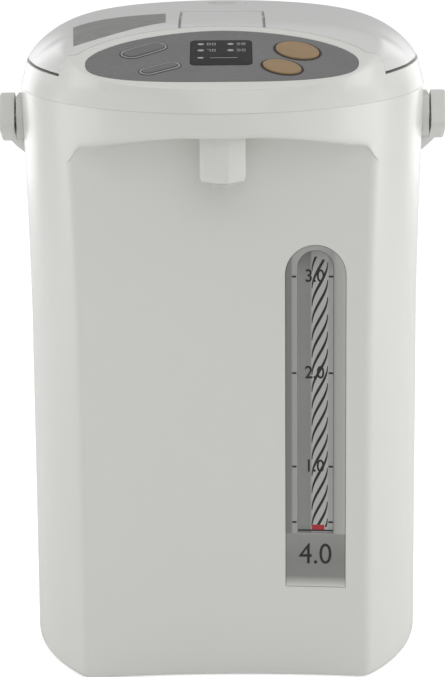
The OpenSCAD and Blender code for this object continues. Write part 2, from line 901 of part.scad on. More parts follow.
// Plan of the spout housing: a shallow three-sided nose, drawn in by inset
module spout_plan(inset) {
    half = spout_w / 2 - inset;
    rear = spout_y + spout_w / 2 - inset;
    front = spout_y - spout_w / 2 + inset;
    polygon([[-half, rear], [-half, front + nose_l - inset], [-nose_half, front],
        [nose_half, front], [half, front + nose_l - inset], [half, rear]]);
}

module spout_cover() {
    color([0.93, 0.93, 0.92]) place()
        difference() {
            union() {
                translate([0, 0, spout_z + 2]) linear_extrude(spout_top - spout_z - 2) spout_plan(0);
                translate([0, 0, spout_z]) linear_extrude(2.1) spout_plan(1.5);
            }
            translate([0, 0, spout_z + 2]) linear_extrude(spout_top) spout_plan(2 + 0.1);
            z_bar(0, spout_y, spout_z - cut, spout_top, nozzle_bore + nozzle_t);
        }
}

module spout_nozzle() {
    color([0.9, 0.9, 0.89]) place()
        difference() {
            union() {
                z_bar(0, spout_y, nozzle_z, ceiling_top + 1.5, nozzle_bore + nozzle_t);
                // Flange that rests on the beak's ceiling
                z_bar(0, spout_y, ceiling_top, ceiling_top + 1.5, nozzle_bore + nozzle_t + 2.5);
            }
            z_bar(0, spout_y, nozzle_z - cut, ceiling_top + 4, nozzle_bore - 1);
            z_bar(0, spout_y, nozzle_z - cut, lip_z - 6, nozzle_bore);
            z_bar(0, spout_y, lip_z - 3, ceiling_top + 4, pipe_r);
        }
}

module outlet_pipe() {
    color([0.85, 0.83, 0.78]) place()
        difference() {
            union() {
                pipe([[gauge_x, tube_y, tube_top_z + 1], [gauge_x, tube_y, pipe_top_z],
                    [0, spout_y, pipe_top_z], [0, spout_y, lip_z - 3]]);
                // Socket over the gauge tube
                z_ring(gauge_x, tube_y, tube_top_z - 7, tube_top_z + 2, tube_r + 2, pipe_r - pipe_t);
            }
            z_bar(gauge_x, tube_y, tube_top_z - 8, tube_top_z, tube_r);
        }
}

module gauge_tube() {
    color([0.8, 0.88, 0.9, 0.5]) place()
        z_ring(gauge_x, tube_y, tube_low_z, tube_top_z, tube_r, tube_r - 1.2);
}

module gauge_frame() {
    color([0.66, 0.66, 0.67]) place() {
        difference() {
            wall_slab(-0.3, wall + run_gap) gauge_outline(gauge_w, gauge_bottom, gauge_top);
            wall_slab(-cut, wall + cut)
                gauge_outline(window_w, window_bottom, gauge_top - (gauge_w - window_w) / 2);
        }
        // Flange behind the body's wall, with the seat of the window
        difference() {
            wall_slab(wall + run_gap, wall + flange_t)
                gauge_outline(gauge_w + 6, gauge_bottom - 3, gauge_top + 3);
            wall_slab(wall - cut, wall + flange_t + cut)
                gauge_outline(window_w - 3, window_bottom + 1.5, gauge_top - (gauge_w - window_w) / 2 - 1.5);
        }
    }
}

module gauge_window() {
    color([0.75, 0.75, 0.76, 0.45]) place()
        wall_slab(0.6, wall)
            gauge_outline(window_w - 2 * display_gap, window_bottom + display_gap,
                gauge_top - (gauge_w - window_w) / 2 - display_gap);
}

module gauge_backing() {
    half = window_w / 2 + 2;
    color([0.55, 0.55, 0.55]) place()
        difference() {
            block([gauge_x - half, -recess_front - 8, window_bottom - 4],
                [gauge_x + half, tube_y + tube_r + 3, gauge_top]);
            block([gauge_x - half + 1.5, -far, window_bottom - 5],
                [gauge_x + half - 1.5, tube_y + tube_r + 1.5, gauge_top + cut]);
            z_bar(0, -recess_front - recess_r, 0, far, recess_r + wall + flange_t);
        }
}

// Direction from the pump to the gauge tube
function toward_gauge(d) = let (v = [gauge_x - pump_x, tube_y - pump_y])
    [pump_x, pump_y] + v * d / norm(v);

module feed_pipe() {
    start = toward_gauge(pump_r + 5);
    color([0.85, 0.83, 0.78]) place()
        difference() {
            union() {
                pipe([[start[0], start[1], pump_out_z], [gauge_x, tube_y, pump_out_z],
                    [gauge_x, tube_y, tube_low_z - 1]]);
                // Socket under the gauge tube
                z_ring(gauge_x, tube_y, tube_low_z - 2, tube_low_z + 7, tube_r + 2, pipe_r - pipe_t);
            }
            z_bar(gauge_x, tube_y, tube_low_z, tube_low_z + 8, tube_r);
        }
}

module suction_tube() {
    color([0.85, 0.83, 0.78]) place()
        z_ring(pump_x, pump_y, pump_top, vessel_floor, 8, 6);
}

module pump_housing() {
    out = toward_gauge(pump_r + 5);
    inner = toward_gauge(pump_r - 8);
    color([0.35, 0.35, 0.37]) place()
        difference() {
            union() {
                z_bar(pump_x, pump_y, pump_z, pump_top, pump_r);
                z_bar(pump_x, pump_y, pump_z, pump_z + pump_floor, pump_r + 5.5);
                run_of([[inner[0], inner[1], pump_out_z], [out[0], out[1], pump_out_z]], pipe_r);
            }
            difference() {
                z_bar(pump_x, pump_y, pump_z + pump_floor, pump_top - pump_floor, pump_r - 3);
                // Axle of the impeller
                z_bar(pump_x, pump_y, pump_z, pump_top - 4, axle_r);
            }
            z_bar(pump_x, pump_y, pump_top - 3.5, pump_top + cut, pump_inlet_r);
            run_of([[inner[0], inner[1], pump_out_z],
                [out[0], out[1], pump_out_z] + [out[0] - inner[0], out[1] - inner[1], 0] * 0.1],
                pipe_r - pipe_t);
        }
}

module impeller() {
    low = pump_z + pump_floor + 1;
    color([0.15, 0.15, 0.16]) place()
        difference() {
            union() {
                z_bar(pump_x, pump_y, low, low + 3, pump_r - 4.5);
                z_bar(pump_x, pump_y, low, low + 8, 4.5);
                for (i = [0 : 5])
                    translate([pump_x, pump_y, low]) rotate(60 * i)
                        translate([3, -0.7, 0]) cube([pump_r - 8, 1.4, 7.5]);
            }
            z_bar(pump_x, pump_y, low - cut, low + 10, axle_r + run_gap);
        }
}

module drive_magnet() {
    color([0.25, 0.25, 0.27]) place()
        z_ring(pump_x, pump_y, pump_z - 5.5, pump_z - 1, motor_r, shaft_r);
}

module motor_shaft() {
    color([0.8, 0.8, 0.82]) place()
        z_bar(pump_x, pump_y, cover_top + 6, pump_z - 1.2, shaft_r);
}

module pump_motor() {
    color([0.6, 0.6, 0.62]) place()
        difference() {
            union() {
                z_bar(pump_x, pump_y, cover_top, cover_top + motor_h, motor_r);
                z_bar(pump_x, pump_y, cover_top, cover_top + motor_h + 1.5, 5);
            }
            z_bar(pump_x, pump_y, cover_top + 5, cover_top + motor_h + 3, shaft_r + run_gap);
        }
}

// ---------- vessel and heaters ----------

module inner_vessel() {
    color([0.3, 0.31, 0.33]) place()
        difference() {
            union() {
                z_bar(0, vessel_y, vessel_floor, vessel_top, vessel_r);
                z_bar(0, vessel_y, vessel_top - vessel_t, vessel_top, vessel_r + flange_w);
            }
            z_bar(0, vessel_y, vessel_floor + vessel_t, vessel_top + cut, vessel_r - vessel_t);
            z_bar(pump_x, pump_y, vessel_floor - cut, vessel_floor + 2 * vessel_t, 6);
        }
}

module vessel_seal() {
    color([0.85, 0.85, 0.83]) place()
        z_ring(0, vessel_y, vessel_top, vessel_top + seal_t, vessel_r + flange_w - 1, vessel_r);
}

module mouth_ring() {
    low = vessel_top + seal_t;
    color([0.88, 0.87, 0.84]) place() translate([0, vessel_y, 0])
        rotate_extrude($fn = fine)
            polygon([
                [vessel_r - 1, low], [vessel_r + flange_w, low], [vessel_r + flange_w, low + 2.5],
                [vessel_r, low + 2.5], [mouth_r + 2.5, low + 6], [mouth_r + 2.5, deck_low - 2.5],
                [deck_hole_r + 5, deck_low - 2.5], [deck_hole_r + 5, deck_low],
                [mouth_r, deck_low], [mouth_r, low + 4.5]
            ]);
}

module heat_jacket() {
    color([0.75, 0.75, 0.77]) place()
        z_ring(0, vessel_y, vessel_floor + 3, vessel_top - vessel_t,
            vessel_r + jacket_gap + jacket_t, vessel_r + jacket_gap);
}

module base_heater() {
    color([0.55, 0.45, 0.35]) place()
        z_ring(0, vessel_y, vessel_floor - heater_t, vessel_floor, heater_outer, heater_inner);
}

module band_heater() {
    color([0.6, 0.5, 0.4]) place()
        z_ring(0, vessel_y, vessel_floor + band_rise, vessel_floor + band_rise + band_h,
            vessel_r + 1.8, vessel_r + 0.1);
}

module thermistor() {
    color([0.7, 0.7, 0.7]) place()
        z_bar(-heater_outer - 8, vessel_y - 8, vessel_floor - 5, vessel_floor, 4);
}

module thermal_fuse() {
    color([0.85, 0.85, 0.8]) place() {
        z_bar(0, vessel_y, vessel_floor - 5, vessel_floor, 8);
        block([-12, vessel_y - 3, vessel_floor - 7], [12, vessel_y + 3, vessel_floor - 4.5]);
    }
}

module support_bracket() {
    color([0.72, 0.72, 0.74]) place() {
        z_ring(0, vessel_y, vessel_floor - 2, vessel_floor, vessel_r, vessel_r - 14);
        for (a = [20, 135, 243])
            z_bar((vessel_r - 8) * cos(a), vessel_y + (vessel_r - 8) * sin(a),
                cover_top, vessel_floor - 1, 4);
    }
}

// ---------- electrics ----------

module main_board() {
    color([0.1, 0.35, 0.2]) place()
        block([board_x - board_w / 2, board_y - board_l / 2, board_z],
            [board_x + board_w / 2, board_y + board_l / 2, board_z + board_t]);
}

module board_parts() {
    top = board_z + board_t;
    color([0.2, 0.2, 0.25]) place() {
        translate([board_x - 4 - relay[0], board_y - 2 - relay[1], top]) cube(relay);
        translate([board_x + 6, board_y - choke[1], top]) cube(choke);
        translate([board_x + 4, board_y + 10, top]) cube(connector);
        z_bar(board_x - capacitor_x, board_y + capacitor_y, top, top + capacitor_h, capacitor_r);
    }
}

module wire_loom() {
    top = board_z + board_t;
    color([0.75, 0.2, 0.15]) place() {
        // From the inlet's pins to the board
        run_of([[-9, inlet_back - 3, pin_z], [-9, inlet_back - 10, pin_z],
            [board_x + live_x, board_y + live_y, pin_z],
            [board_x + live_x, board_y + live_y, top]], wire_r);
        run_of([[9, inlet_back - 3, pin_z], [9, inlet_back - 8, pin_z], [9, inlet_back - 14, pin_z + 5],
            [board_x + neutral_x, board_y + neutral_y, pin_z + 5],
            [board_x + neutral_x, board_y + neutral_y, top]], wire_r);
        // From the board to the heater
        run_of([[board_x + neutral_x, board_y, top], [board_x + neutral_x, board_y, wire_z + wire_rise],
            [-heater_inner - 3, vessel_y, wire_z + wire_rise],
            [-heater_inner - 3, vessel_y, vessel_floor - heater_t]], wire_r);
    }
}

module inlet_socket() {
    color([0.25, 0.25, 0.27]) place()
        difference() {
            union() {
                block([-inlet_half, inlet_back, inlet_low], [inlet_half, body_rear + 1.5, inlet_high]);
                // Flange that follows the inside of the rear wall
                intersection() {
                    block([-inlet_half - 4, inlet_back, inlet_low - 4],
                        [inlet_half + 4, body_rear, inlet_high + 4]);
                    body_form(wall, table_gap - cut, seam_z + cut);
                }
            }
            block([-inlet_half + 3, body_rear - 5.5, inlet_low + 3],
                [inlet_half - 3, body_rear + 1.5 + cut, inlet_high - 3]);
            for (x = [-9, 0, 9])
                translate([x, 0, pin_z]) rotate([-90, 0, 0])
                    cylinder(r = 1.6, h = body_rear, $fn = fine);
        }
}

module inlet_pins() {
    color([0.85, 0.75, 0.45]) place()
        for (x = [-9, 0, 9])
            translate([x, inlet_back - 3, pin_z]) rotate([-90, 0, 0])
                cylinder(r = 1.6, h = body_rear - inlet_back + 1.5, $fn = fine);
}

// ---------- lid ----------

// The steam vent's place
module vent_bar(radius, low, high) {
    z_bar(0, vent_y, low, high, radius);
}

module lid_shell() {
    color([0.9, 0.9, 0.89]) place()
        difference() {
            difference() {
                intersection() {
                    top_form(0, seam_z);
                    lid_zone(0, split_z);
                }
                hinge_zone(lid_rear_r, hinge_well);
                difference() {
                    intersection() {
                        top_form(wall, seam_z);
                        lid_zone(wall, split_z - cut);
                    }
                    // Solid rear bar that the hinge pin runs in
                    block([-hinge_well, hinge_y - lid_rear_r, 0], [hinge_well, far, far]);
                    // Floor and walls of the lever's pocket
                    difference() {
                        block([-lever_half - 2, -far, 0], [lever_half + 2, lever_pin_y + 5.2, far]);
                        top_form(lever_t + 2, seam_z);
                    }
                    block([-lever_half - 2, lever_pin_y - 5, lever_pin_z - 5],
                        [lever_half + 2, lever_pin_y + 5.2, far]);
                    // Boss round the steam vent
                    z_bar(0, vent_y, vent_seat - 2, far, vent_r + fit_gap + 2);
                    // Posts that the liner is fixed to
                    for (x = [-58, 58], y = [-15, 65])
                        z_bar(x, y, liner_top, far, 3);
                }
            }
            // Opening of the lever
            difference() {
                block([-lever_half, -far, latch_high], [lever_half, lever_pin_y + 3.2, far]);
                top_form(lever_t + 0.3, seam_z);
            }
            x_bar(lever_pin_y, lever_pin_z, lever_pin_r + 1.6, -lever_half, lever_half);
            x_bar(lever_pin_y, lever_pin_z, lever_pin_r, -lever_half - 2 - cut, lever_half + 2 + cut);
            // Notch for the fixed hinge knuckle
            block([-block_half - 0.7, hinge_y - notch_r, 0], [block_half + 0.7, far, far]);
            x_bar(hinge_y, hinge_z, hinge_pin_r + run_gap, -hinge_half - 0.5, hinge_half + 0.5);
            // Window for the latch
            block([-latch_half - 0.3, -lid_front, latch_low - 0.3],
                [latch_half + 0.3, latch_front + 5, latch_high + 0.3]);
            vent_bar(vent_r + fit_gap, vent_seat, far);
            vent_bar(vent_bore, vent_seat - 3, far);
        }
}

module lid_liner() {
    color([0.87, 0.87, 0.85]) place()
        difference() {
            union() {
                intersection() {
                    plan_block(rim_inset + wall + 2, liner_low, liner_top);
                    lid_zone(wall + fit_gap, liner_low - cut);
                }
                z_bar(0, vessel_y, plug_low, liner_low + 0.5, plug_r);
                // Guides of the latch
                for (side = [-1, 1])
                    translate([side * (latch_half + 1.5) - 1.2, latch_front + 5, liner_top - 0.1])
                        cube([2.4, 24, latch_high - liner_top]);
                // Post behind the latch's spring
                block([-4, spring_back, liner_top - 0.1], [4, spring_back + 3, latch_high + 1]);
            }
            // The skirt's open inside
            z_bar(0, vessel_y, plug_low - cut, liner_low, plug_r - 2.5);
            block([-block_half - 0.7, hinge_y - notch_r - 1, 0], [block_half + 0.7, far, far]);
            block([-far, hinge_y - 11, 0], [far, far, far]);
            // Steam holes under the vent
            for (a = [0, 120, 240])
                z_bar(3.5 * cos(a), vent_y + 3.5 * sin(a), 0, far, 1.8);
        }
}

module lid_gasket() {
    color([0.8, 0.8, 0.78]) place()
        z_ring(0, vessel_y, deck_low, liner_low, gasket_r + gasket_w, gasket_r);
}

module vent_cap() {
    color([0.84, 0.84, 0.83]) place()
        difference() {
            intersection() {
                top_form(0, seam_z);
                vent_bar(vent_r, vent_seat, far);
            }
            vent_bar(vent_bore, vent_seat - cut, vent_seat + 3);
            for (i = [-2 : 2])
                block([-vent_r * 0.62 + abs(i), vent_y + 4 * i - 0.8, 0],
                    [vent_r * 0.62 - abs(i), vent_y + 4 * i + 0.8, far]);
        }
}

module vent_trap() {
    color([0.86, 0.86, 0.84]) place() {
        difference() {
            vent_bar(9, liner_top, vent_seat);
            vent_bar(7, liner_top - cut, vent_seat - 2);
            vent_bar(3, 0, far);
        }
    }
}

module tilt_ball() {
    color([0.75, 0.75, 0.77]) place()
        translate([0, vent_y, liner_top + 4]) sphere(r = 4, $fn = fine);
}

module lid_lever() {
    color([0.9, 0.9, 0.89]) place()
        difference() {
            union() {
                difference() {
                    intersection() {
                        top_form(0, seam_z);
                        lid_zone(lever_gap - lid_gap, split_z);
                        block([-lever_half + lid_gap, -far, 0], [lever_half - lid_gap, lever_pin_y, far]);
                    }
                    top_form(lever_t, seam_z - cut);
                }
                x_bar(lever_pin_y, lever_pin_z, lever_pin_r + 1.2, -lever_half + lid_gap,
                    lever_half - lid_gap);
            }
            x_bar(lever_pin_y, lever_pin_z, lever_pin_r + run_gap, -lever_half, lever_half);
        }
}

module lever_pin() {
    color([0.78, 0.78, 0.8]) place()
        x_bar(lever_pin_y, lever_pin_z, lever_pin_r, -lever_half - 2, lever_half + 2);
}

module latch_slider() {
    color([0.82, 0.82, 0.8]) place()
        difference() {
            block([-latch_half, latch_front, latch_low], [latch_half, latch_back, latch_high]);
            // Bore that the spring sits in
            translate([0, spring_back - spring_l - latch_travel - 0.4, latch_mid]) rotate([-90, 0, 0])
                cylinder(r = spring_r + 0.35, h = spring_l, $fn = fine);
        }
}

module latch_spring() {
    color([0.78, 0.78, 0.8]) place()
        translate([0, spring_back - spring_l, latch_mid]) rotate([-90, 0, 0])
            helix(spring_r - 0.35, 0.35, spring_l, 7);
}

// A coil spring along Z from 0 to length, with its wire's ends on flat planes
module helix(radius, wire, length, turns) {
    per_turn = 12;
    n = turns * per_turn;
    sides = 6;
    rise = (length - 2 * wire) / n;
    rings = [for (k = [0 : n]) [for (j = [0 : sides - 1])
        let (a = 360 * k / per_turn, b = -360 * j / sides, r = radius + wire * cos(b))
        [r * cos(a), r * sin(a), wire + k * rise + wire * sin(b)]]];
    points = [for (r = rings) each r];
    walls = [for (k = [0 : n - 1], j = [0 : sides - 1])
        [k * sides + j, k * sides + (j + 1) % sides, (k + 1) * sides + (j + 1) % sides,
            (k + 1) * sides + j]];
    ends = [[for (j = [0 : sides - 1]) sides - 1 - j], [for (j = [0 : sides - 1]) n * sides + j]];
    polyhedron(points = points, faces = concat(walls, ends));
}

// ---------- hinge ----------

module hinge_pin() {
    color([0.78, 0.78, 0.8]) place()
        x_bar(hinge_y, hinge_z, hinge_pin_r, -hinge_half, hinge_half);
}

module hinge_block() {
    color([0.86, 0.86, 0.85]) place()
        difference() {
            union() {
                intersection() {
                    x_bar(hinge_y, hinge_z, knuckle_r, -block_half, block_half);
                    top_form(0, seam_z);
                }
                block([-block_half, hinge_y - knuckle_r, deck_top],
                    [block_half, hinge_y + knuckle_r - 2, hinge_z]);
            }
            block([-far, -far, deck_top - far], [far, far, deck_top]);
            x_bar(hinge_y, hinge_z, hinge_pin_r, -block_half - cut, block_half + cut);
            // Pocket of the release button
            block([-release_half - 0.3, release_front - 0.3, release_floor],
                [release_half + 0.3, release_rear + 0.3, far]);
        }
}

module lid_release() {
    color([0.6, 0.6, 0.61]) place()
        intersection() {
            block([-release_half, release_front, release_low], [release_half, release_rear, far]);
            top_form(-0.8, seam_z);
            x_bar(hinge_y, hinge_z, knuckle_r + 0.35, -block_half, block_half);
        }
}

// ---------- handle ----------

// Half of the handle's ring in its own plane
module handle_ring(half_w, reach) {
    polygon(concat([[half_w, -cut / 10]],
        [for (i = [0 : 36]) [half_w * cos(5 * i), reach * sin(5 * i)]],
        [[-half_w, -cut / 10]]));
}

// A block with round corners across X
module ear(from, to) {
    r = 4;
    low = -ear_h / 2;
    corners = [[ear_back - r, low + ear_h - r, 0], [-ear_h / 2 + r, low + ear_h - r, 90],
        [-ear_h / 2 + r, low + r, 180], [ear_back - r, low + r, 270]];
    translate([from, 0, 0]) rotate([90, 0, 90]) linear_extrude(to - from)
        polygon([for (c = corners, i = [0 : 6])
            [c[0] + r * cos(c[2] + 15 * i), c[1] + r * sin(c[2] + 15 * i)]]);
}

// Turns the handle from its own flat plane to where it hangs
module at_handle() {
    translate([0, 0, pivot_z]) rotate([-handle_droop, 0, 0]) children();
}

module handle_bail() {
    color([0.83, 0.83, 0.83]) place() at_handle()
        difference() {
            union() {
                difference() {
                    translate([0, 0, -grip_t / 2]) linear_extrude(grip_t)
                        handle_ring(handle_w / 2, handle_reach);
                    translate([0, 0, -grip_t]) linear_extrude(2 * grip_t)
                        handle_ring(arm_inner, handle_inner_reach);
                    block([-far, -far, -far], [far, 0, far]);
                }
                ear(arm_inner, handle_w / 2);
                mirror([1, 0, 0]) ear(arm_inner, handle_w / 2);
            }
            x_bar(0, 0, pivot_r + run_gap, arm_inner - cut, arm_inner + arm_t - 3);
            x_bar(0, 0, pivot_r + run_gap, -arm_inner - arm_t + 3, -arm_inner + cut);
        }
}

module handle_pins() {
    color([0.78, 0.78, 0.8]) place()
        for (side = [0, 1])
            mirror([side, 0, 0]) {
                x_bar(0, pivot_z, pivot_r, pin_start - 2, arm_inner + arm_t - 3.3);
                x_bar(0, pivot_z, pivot_r + 3, pin_start - 2, pin_start);
            }
}

module handle_bosses() {
    color([0.88, 0.88, 0.88]) place()
        for (side = [0, 1])
            mirror([side, 0, 0])
                difference() {
                    translate([body_half, -boss_w / 2, pivot_z - boss_h2 / 2])
                        cube([boss_face - body_half, boss_w, boss_h2]);
                    body_form(-run_gap, table_gap, seam_z);
                    x_bar(0, pivot_z, pivot_r + run_gap, body_half - cut, boss_face + cut);
                }
}

body_shell();
base_cover();
base_screws();
swivel_base();
swivel_retainer();
foot_ring();
collar();
control_panel();
display_window();
display_module();
control_board();
key_switches();
dispense_button();
unlock_button();
boil_button();
temperature_button();
spout_cover();
spout_nozzle();
outlet_pipe();
gauge_tube();
gauge_frame();
gauge_window();
gauge_backing();
feed_pipe();
suction_tube();
pump_housing();
impeller();
drive_magnet();
motor_shaft();
pump_motor();
inner_vessel();
vessel_seal();
mouth_ring();
heat_jacket();
base_heater();
band_heater();
thermistor();
thermal_fuse();
support_bracket();
main_board();
board_parts();
wire_loom();
inlet_socket();
inlet_pins();
lid_shell();
lid_liner();
lid_gasket();
vent_cap();
vent_trap();
tilt_ball();
lid_lever();
lever_pin();
latch_slider();
latch_spring();
hinge_pin();
hinge_block();
lid_release();
handle_bail();
handle_pins();
handle_bosses();
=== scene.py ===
"""Looks of an electric thermo pot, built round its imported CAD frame."""
import math
import bpy
import bmesh
import numpy as np
from mathutils import Matrix, Vector


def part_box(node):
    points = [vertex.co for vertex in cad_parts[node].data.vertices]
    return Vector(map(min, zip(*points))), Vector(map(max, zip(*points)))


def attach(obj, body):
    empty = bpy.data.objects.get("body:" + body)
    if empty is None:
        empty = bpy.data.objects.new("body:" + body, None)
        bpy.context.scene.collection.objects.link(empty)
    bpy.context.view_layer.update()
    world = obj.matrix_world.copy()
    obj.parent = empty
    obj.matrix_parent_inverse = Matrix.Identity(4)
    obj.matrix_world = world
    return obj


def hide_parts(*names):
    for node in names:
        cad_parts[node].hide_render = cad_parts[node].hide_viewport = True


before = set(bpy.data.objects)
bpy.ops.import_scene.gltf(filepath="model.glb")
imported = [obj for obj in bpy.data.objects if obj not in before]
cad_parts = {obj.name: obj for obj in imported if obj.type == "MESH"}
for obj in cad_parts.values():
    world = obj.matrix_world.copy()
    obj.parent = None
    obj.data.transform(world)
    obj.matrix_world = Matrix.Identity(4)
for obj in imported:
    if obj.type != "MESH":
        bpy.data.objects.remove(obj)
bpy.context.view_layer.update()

# ---------- sizes in millimetres ----------

# The body in plan, its flare towards the seam under the collar, and its wall
BODY_HALF = 108.0
BODY_FRONT = 137.5
BODY_REAR = 120.0
FLARE = 3.0
FLARE_START = 190.0
FLARE_POWER = 1.32
SEAM_Z = 315.0
WALL = 2.5

# The body's lower end: its height, its rounded edge and how far the edge draws in
LOW_Z = 0.9
LOW_EDGE = 3.0
LOW_DRAW = 1.5

# The top: its rim, the crown over it, and where it is fuller beside the panel
RIM_Z = 325.0
RIM_OVER = 0.5
CROWN_RISE = 26.9
CROWN_FORE_Y, CROWN_FORE_RUN, CROWN_REAR_RUN = -35.0, 55.0, 126.0
FULL_SHARE, FULL_AT, FULL_SPREAD = 0.058, math.radians(34), math.radians(17)

# The panel's plane and its outline, whose ends follow powers of an oval
PANEL_Y = -101.0
PANEL_Z = 337.0
SLOPE = math.radians(15.9)
PANEL_BACK, PANEL_FORE = 42.4, 27.0
OVAL_BACK, OVAL_FORE = 1.75, 3.05
PANEL_THICK, PANEL_GAP = 2.6, 0.2
KEY_GAP, DISPLAY_GAP = 0.35, 0.15

# The seam between lid and collar
SPLIT_Z = 329.9
SPLIT_GAP = 0.5
SEAM_BAND = 8.0
LID_FRONT = -91.0
LID_GAP = 0.25
DECK_LOW, DECK_TOP, DECK_FRONT = 323.0, 325.5, -92.5

# The lid's lever, the slot that it lies in, and the wall round the slot
LEVER_HALF = 23.2
LEVER_GAP = 1.5
LEVER_THICK = 3.0
LEVER_PIN = (8.0, 348.4)
LEVER_BOSS_R = 2.7
SLOT_REAR, SLOT_LOW, SLOT_DEEP = 11.2, 334.5, 3.3
SLOT_WALL, SLOT_FLOOR = 2.0, 5.0
BOSS_FRONT, BOSS_LOW = 3.0, 343.4

# The hinge: its pin as (y, z), the lid's barrels and the fixed knuckle between them
HINGE = (108.0, 331.5)
BARREL_R, BARREL_GAP = 7.0, 0.4
HINGE_HALF = 50.0
KNUCKLE_HALF, KNUCKLE_FRONT = 20.7, 97.8
HOLLOW_REAR = 101.0

# The steam vent in the lid
VENT_Y = 62.0
VENT_R, VENT_SEAT_R, VENT_POCKET_R, VENT_HOLE_R = 14.0, 14.3, 16.3, 11.5
VENT_SEAT_Z, VENT_POCKET_Z, VENT_HOLE_Z, VENT_SKIN_Z = 343.5, 341.5, 340.5, 346.5
SLAT_HALF, SLAT_PITCH, SLAT_REACH = 0.8, 4, 8.7

# The collar's opening over the vessel, the latch's hole and the slits beside the lid
MOUTH_Y, MOUTH_R = 26.0, 70.0
LATCH_HOLE = ((-9, -57.2, 327.5), (9, -48.2, 335.5))
SLIT_DEPTH, SLIT_BELOW, SLIT_ABOVE = 9.0, 1.5, 0.6

# The front recess and the lip over it
RECESS_Y = -90.7
RECESS_R = 536.3
RECESS_HALF = 80.0
RECESS_CORNER = 11.0
LIP_Z = 302.0
LIP_DROP = 8.3
LIP_LOOK_Z = 293.0

# Openings in the body: gauge, nozzle, handle pivots and power inlet
GAUGE_X = 48.5
GAUGE_WIDTH, GAUGE_LOW, GAUGE_HIGH, GAUGE_FIT = 32.0, 51.0, 239.0, 0.1
PANE_HALF, PANE_LOW, PANE_HIGH, PANE_FIT = 9.45, 81.5, 236.2, 0.15
SPOUT_Y = -117.0
NOZZLE_HOLE_R = 6.4
PIVOT_Z = 296.0
PIVOT_HOLE_R = 4.1
INLET_HALF, INLET_LOW, INLET_HIGH = 20.3, 21.7, 46.3

# The handle in its own plane: half width and reach of its inner and outer edge
DROOP = math.radians(25)
BAIL_INNER, BAIL_OUTER = np.array([115.0, 137.92]), np.array([123.5, 148.92])
BAIL_THICK, BAIL_EDGE = 12.0, 2.6
EAR_LOW, EAR_HIGH, EAR_FRONT, EAR_BACK, EAR_CORNER = -11.0, 11.0, -11.0, 15.0, 4.0
EAR_WIDE, EAR_ROUND = 8.5, 1.6

# How far cutters reach past the part, sideways and upwards
FAR, SKY = 300, 500

# The frame stands a little off the plan's middle, so that its box is centred
SHIFT_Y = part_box("body_shell")[0].y * 1000 + BODY_FRONT + FLARE

# The panel's half width, with a margin to the body's side
PANEL_MARGIN = 3.4
PANEL_HALF = BODY_HALF * math.sqrt(1 - (PANEL_Y / BODY_FRONT) ** 2) - PANEL_MARGIN


# ---------- mesh helpers ----------

def link(mesh, name):
    """Puts a mesh in the scene as an object."""
    piece = bpy.data.objects.new(name, mesh)
    bpy.context.scene.collection.objects.link(piece)
    return piece


def shade(piece, angle=32):
    """Smooth shading that stays sharp at edges over an angle in degrees."""
    piece.data.shade_smooth()
    piece.data.set_sharp_from_angle(angle=math.radians(angle))
    return piece


def build(name, points, faces, angle=32):
    """A mesh object from points in millimetres on the plan."""
    co = np.array(points, float)
    co[:, 1] += SHIFT_Y
    mesh = bpy.data.meshes.new(name)
    mesh.from_pydata((co * 0.001).tolist(), [], faces)
    bm = bmesh.new()
    bm.from_mesh(mesh)
    bmesh.ops.remove_doubles(bm, verts=bm.verts, dist=1e-7)
    bmesh.ops.recalc_face_normals(bm, faces=bm.faces)
    bm.to_mesh(mesh)
    bm.free()
    return shade(link(mesh, name), angle)


def skin(name, rings, loop=False, angle=32):
    """A closed skin over rings of points; loop joins the last ring to the first."""
    n = len(rings[0])
    m = len(rings)
    points = np.concatenate([np.asarray(r, float) for r in rings])
    faces = []
    for k in range(m if loop else m - 1):
        a, b = k * n, (k + 1) % m * n
        faces += [[a + i, a + (i + 1) % n, b + (i + 1) % n, b + i] for i in range(n)]
    if not loop:
        faces.append(list(range(n))[::-1])
        faces.append(list(range((m - 1) * n, m * n)))
    return build(name, points, faces, angle)


def flat_ring(outline, z):
    """A plan outline at one height."""
    o = np.asarray(outline, float)
    return np.column_stack([o[:, 0], o[:, 1], np.full(len(o), z)])


def prism(outline, low, high):
    """An upright solid over a plan outline."""
    return skin("cutter", [flat_ring(outline, low), flat_ring(outline, high)])


def plate(name, outline, low, high, edge, put, dome=0.0):
    """A plate over outline(inset), with a rounded upper edge and an optional low dome."""
    rings = [flat_ring(outline(0.0), low)]
    rings += [flat_ring(outline(edge * (1 - math.cos(a))), high - edge * (1 - math.sin(a)))
              for a in np.linspace(0, math.pi / 2, 5)]
    if dome > 0:
        last = rings[-1]
        mid = last.mean(0)
        for s in (0.9, 0.75, 0.55, 0.3, 0.08):
            r = mid + (last - mid) * s
            r[:, 2] = high + dome * (1 - s * s)
            rings.append(r)
    return skin(name, [put(r) for r in rings])


def cylinder_x(y, z, radius, x0, x1, n=64):
    """A cylinder that lies along x."""
    a = np.linspace(0, 2 * math.pi, n, endpoint=False)
    ring = np.column_stack([np.zeros(n), y + radius * np.cos(a), z + radius * np.sin(a)])
    return skin("cutter", [ring + [x0, 0, 0], ring + [x1, 0, 0]])


def circle(x, y, radius, n=64):
    """Points of a circle on the plan."""
    a = np.linspace(0, 2 * math.pi, n, endpoint=False)
    return np.column_stack([x + radius * np.cos(a), y + radius * np.sin(a)])


def round_box(w, h, r, n=6):
    """A rectangle round the origin with round corners."""
    out = []
    for sx, sy, a0 in ((1, 1, 0), (-1, 1, 90), (-1, -1, 180), (1, -1, 270)):
        for k in range(n + 1):
            a = math.radians(a0 + 90 * k / n)
            out.append((sx * (w / 2 - r) + r * math.cos(a), sy * (h / 2 - r) + r * math.sin(a)))
    return np.array(out)


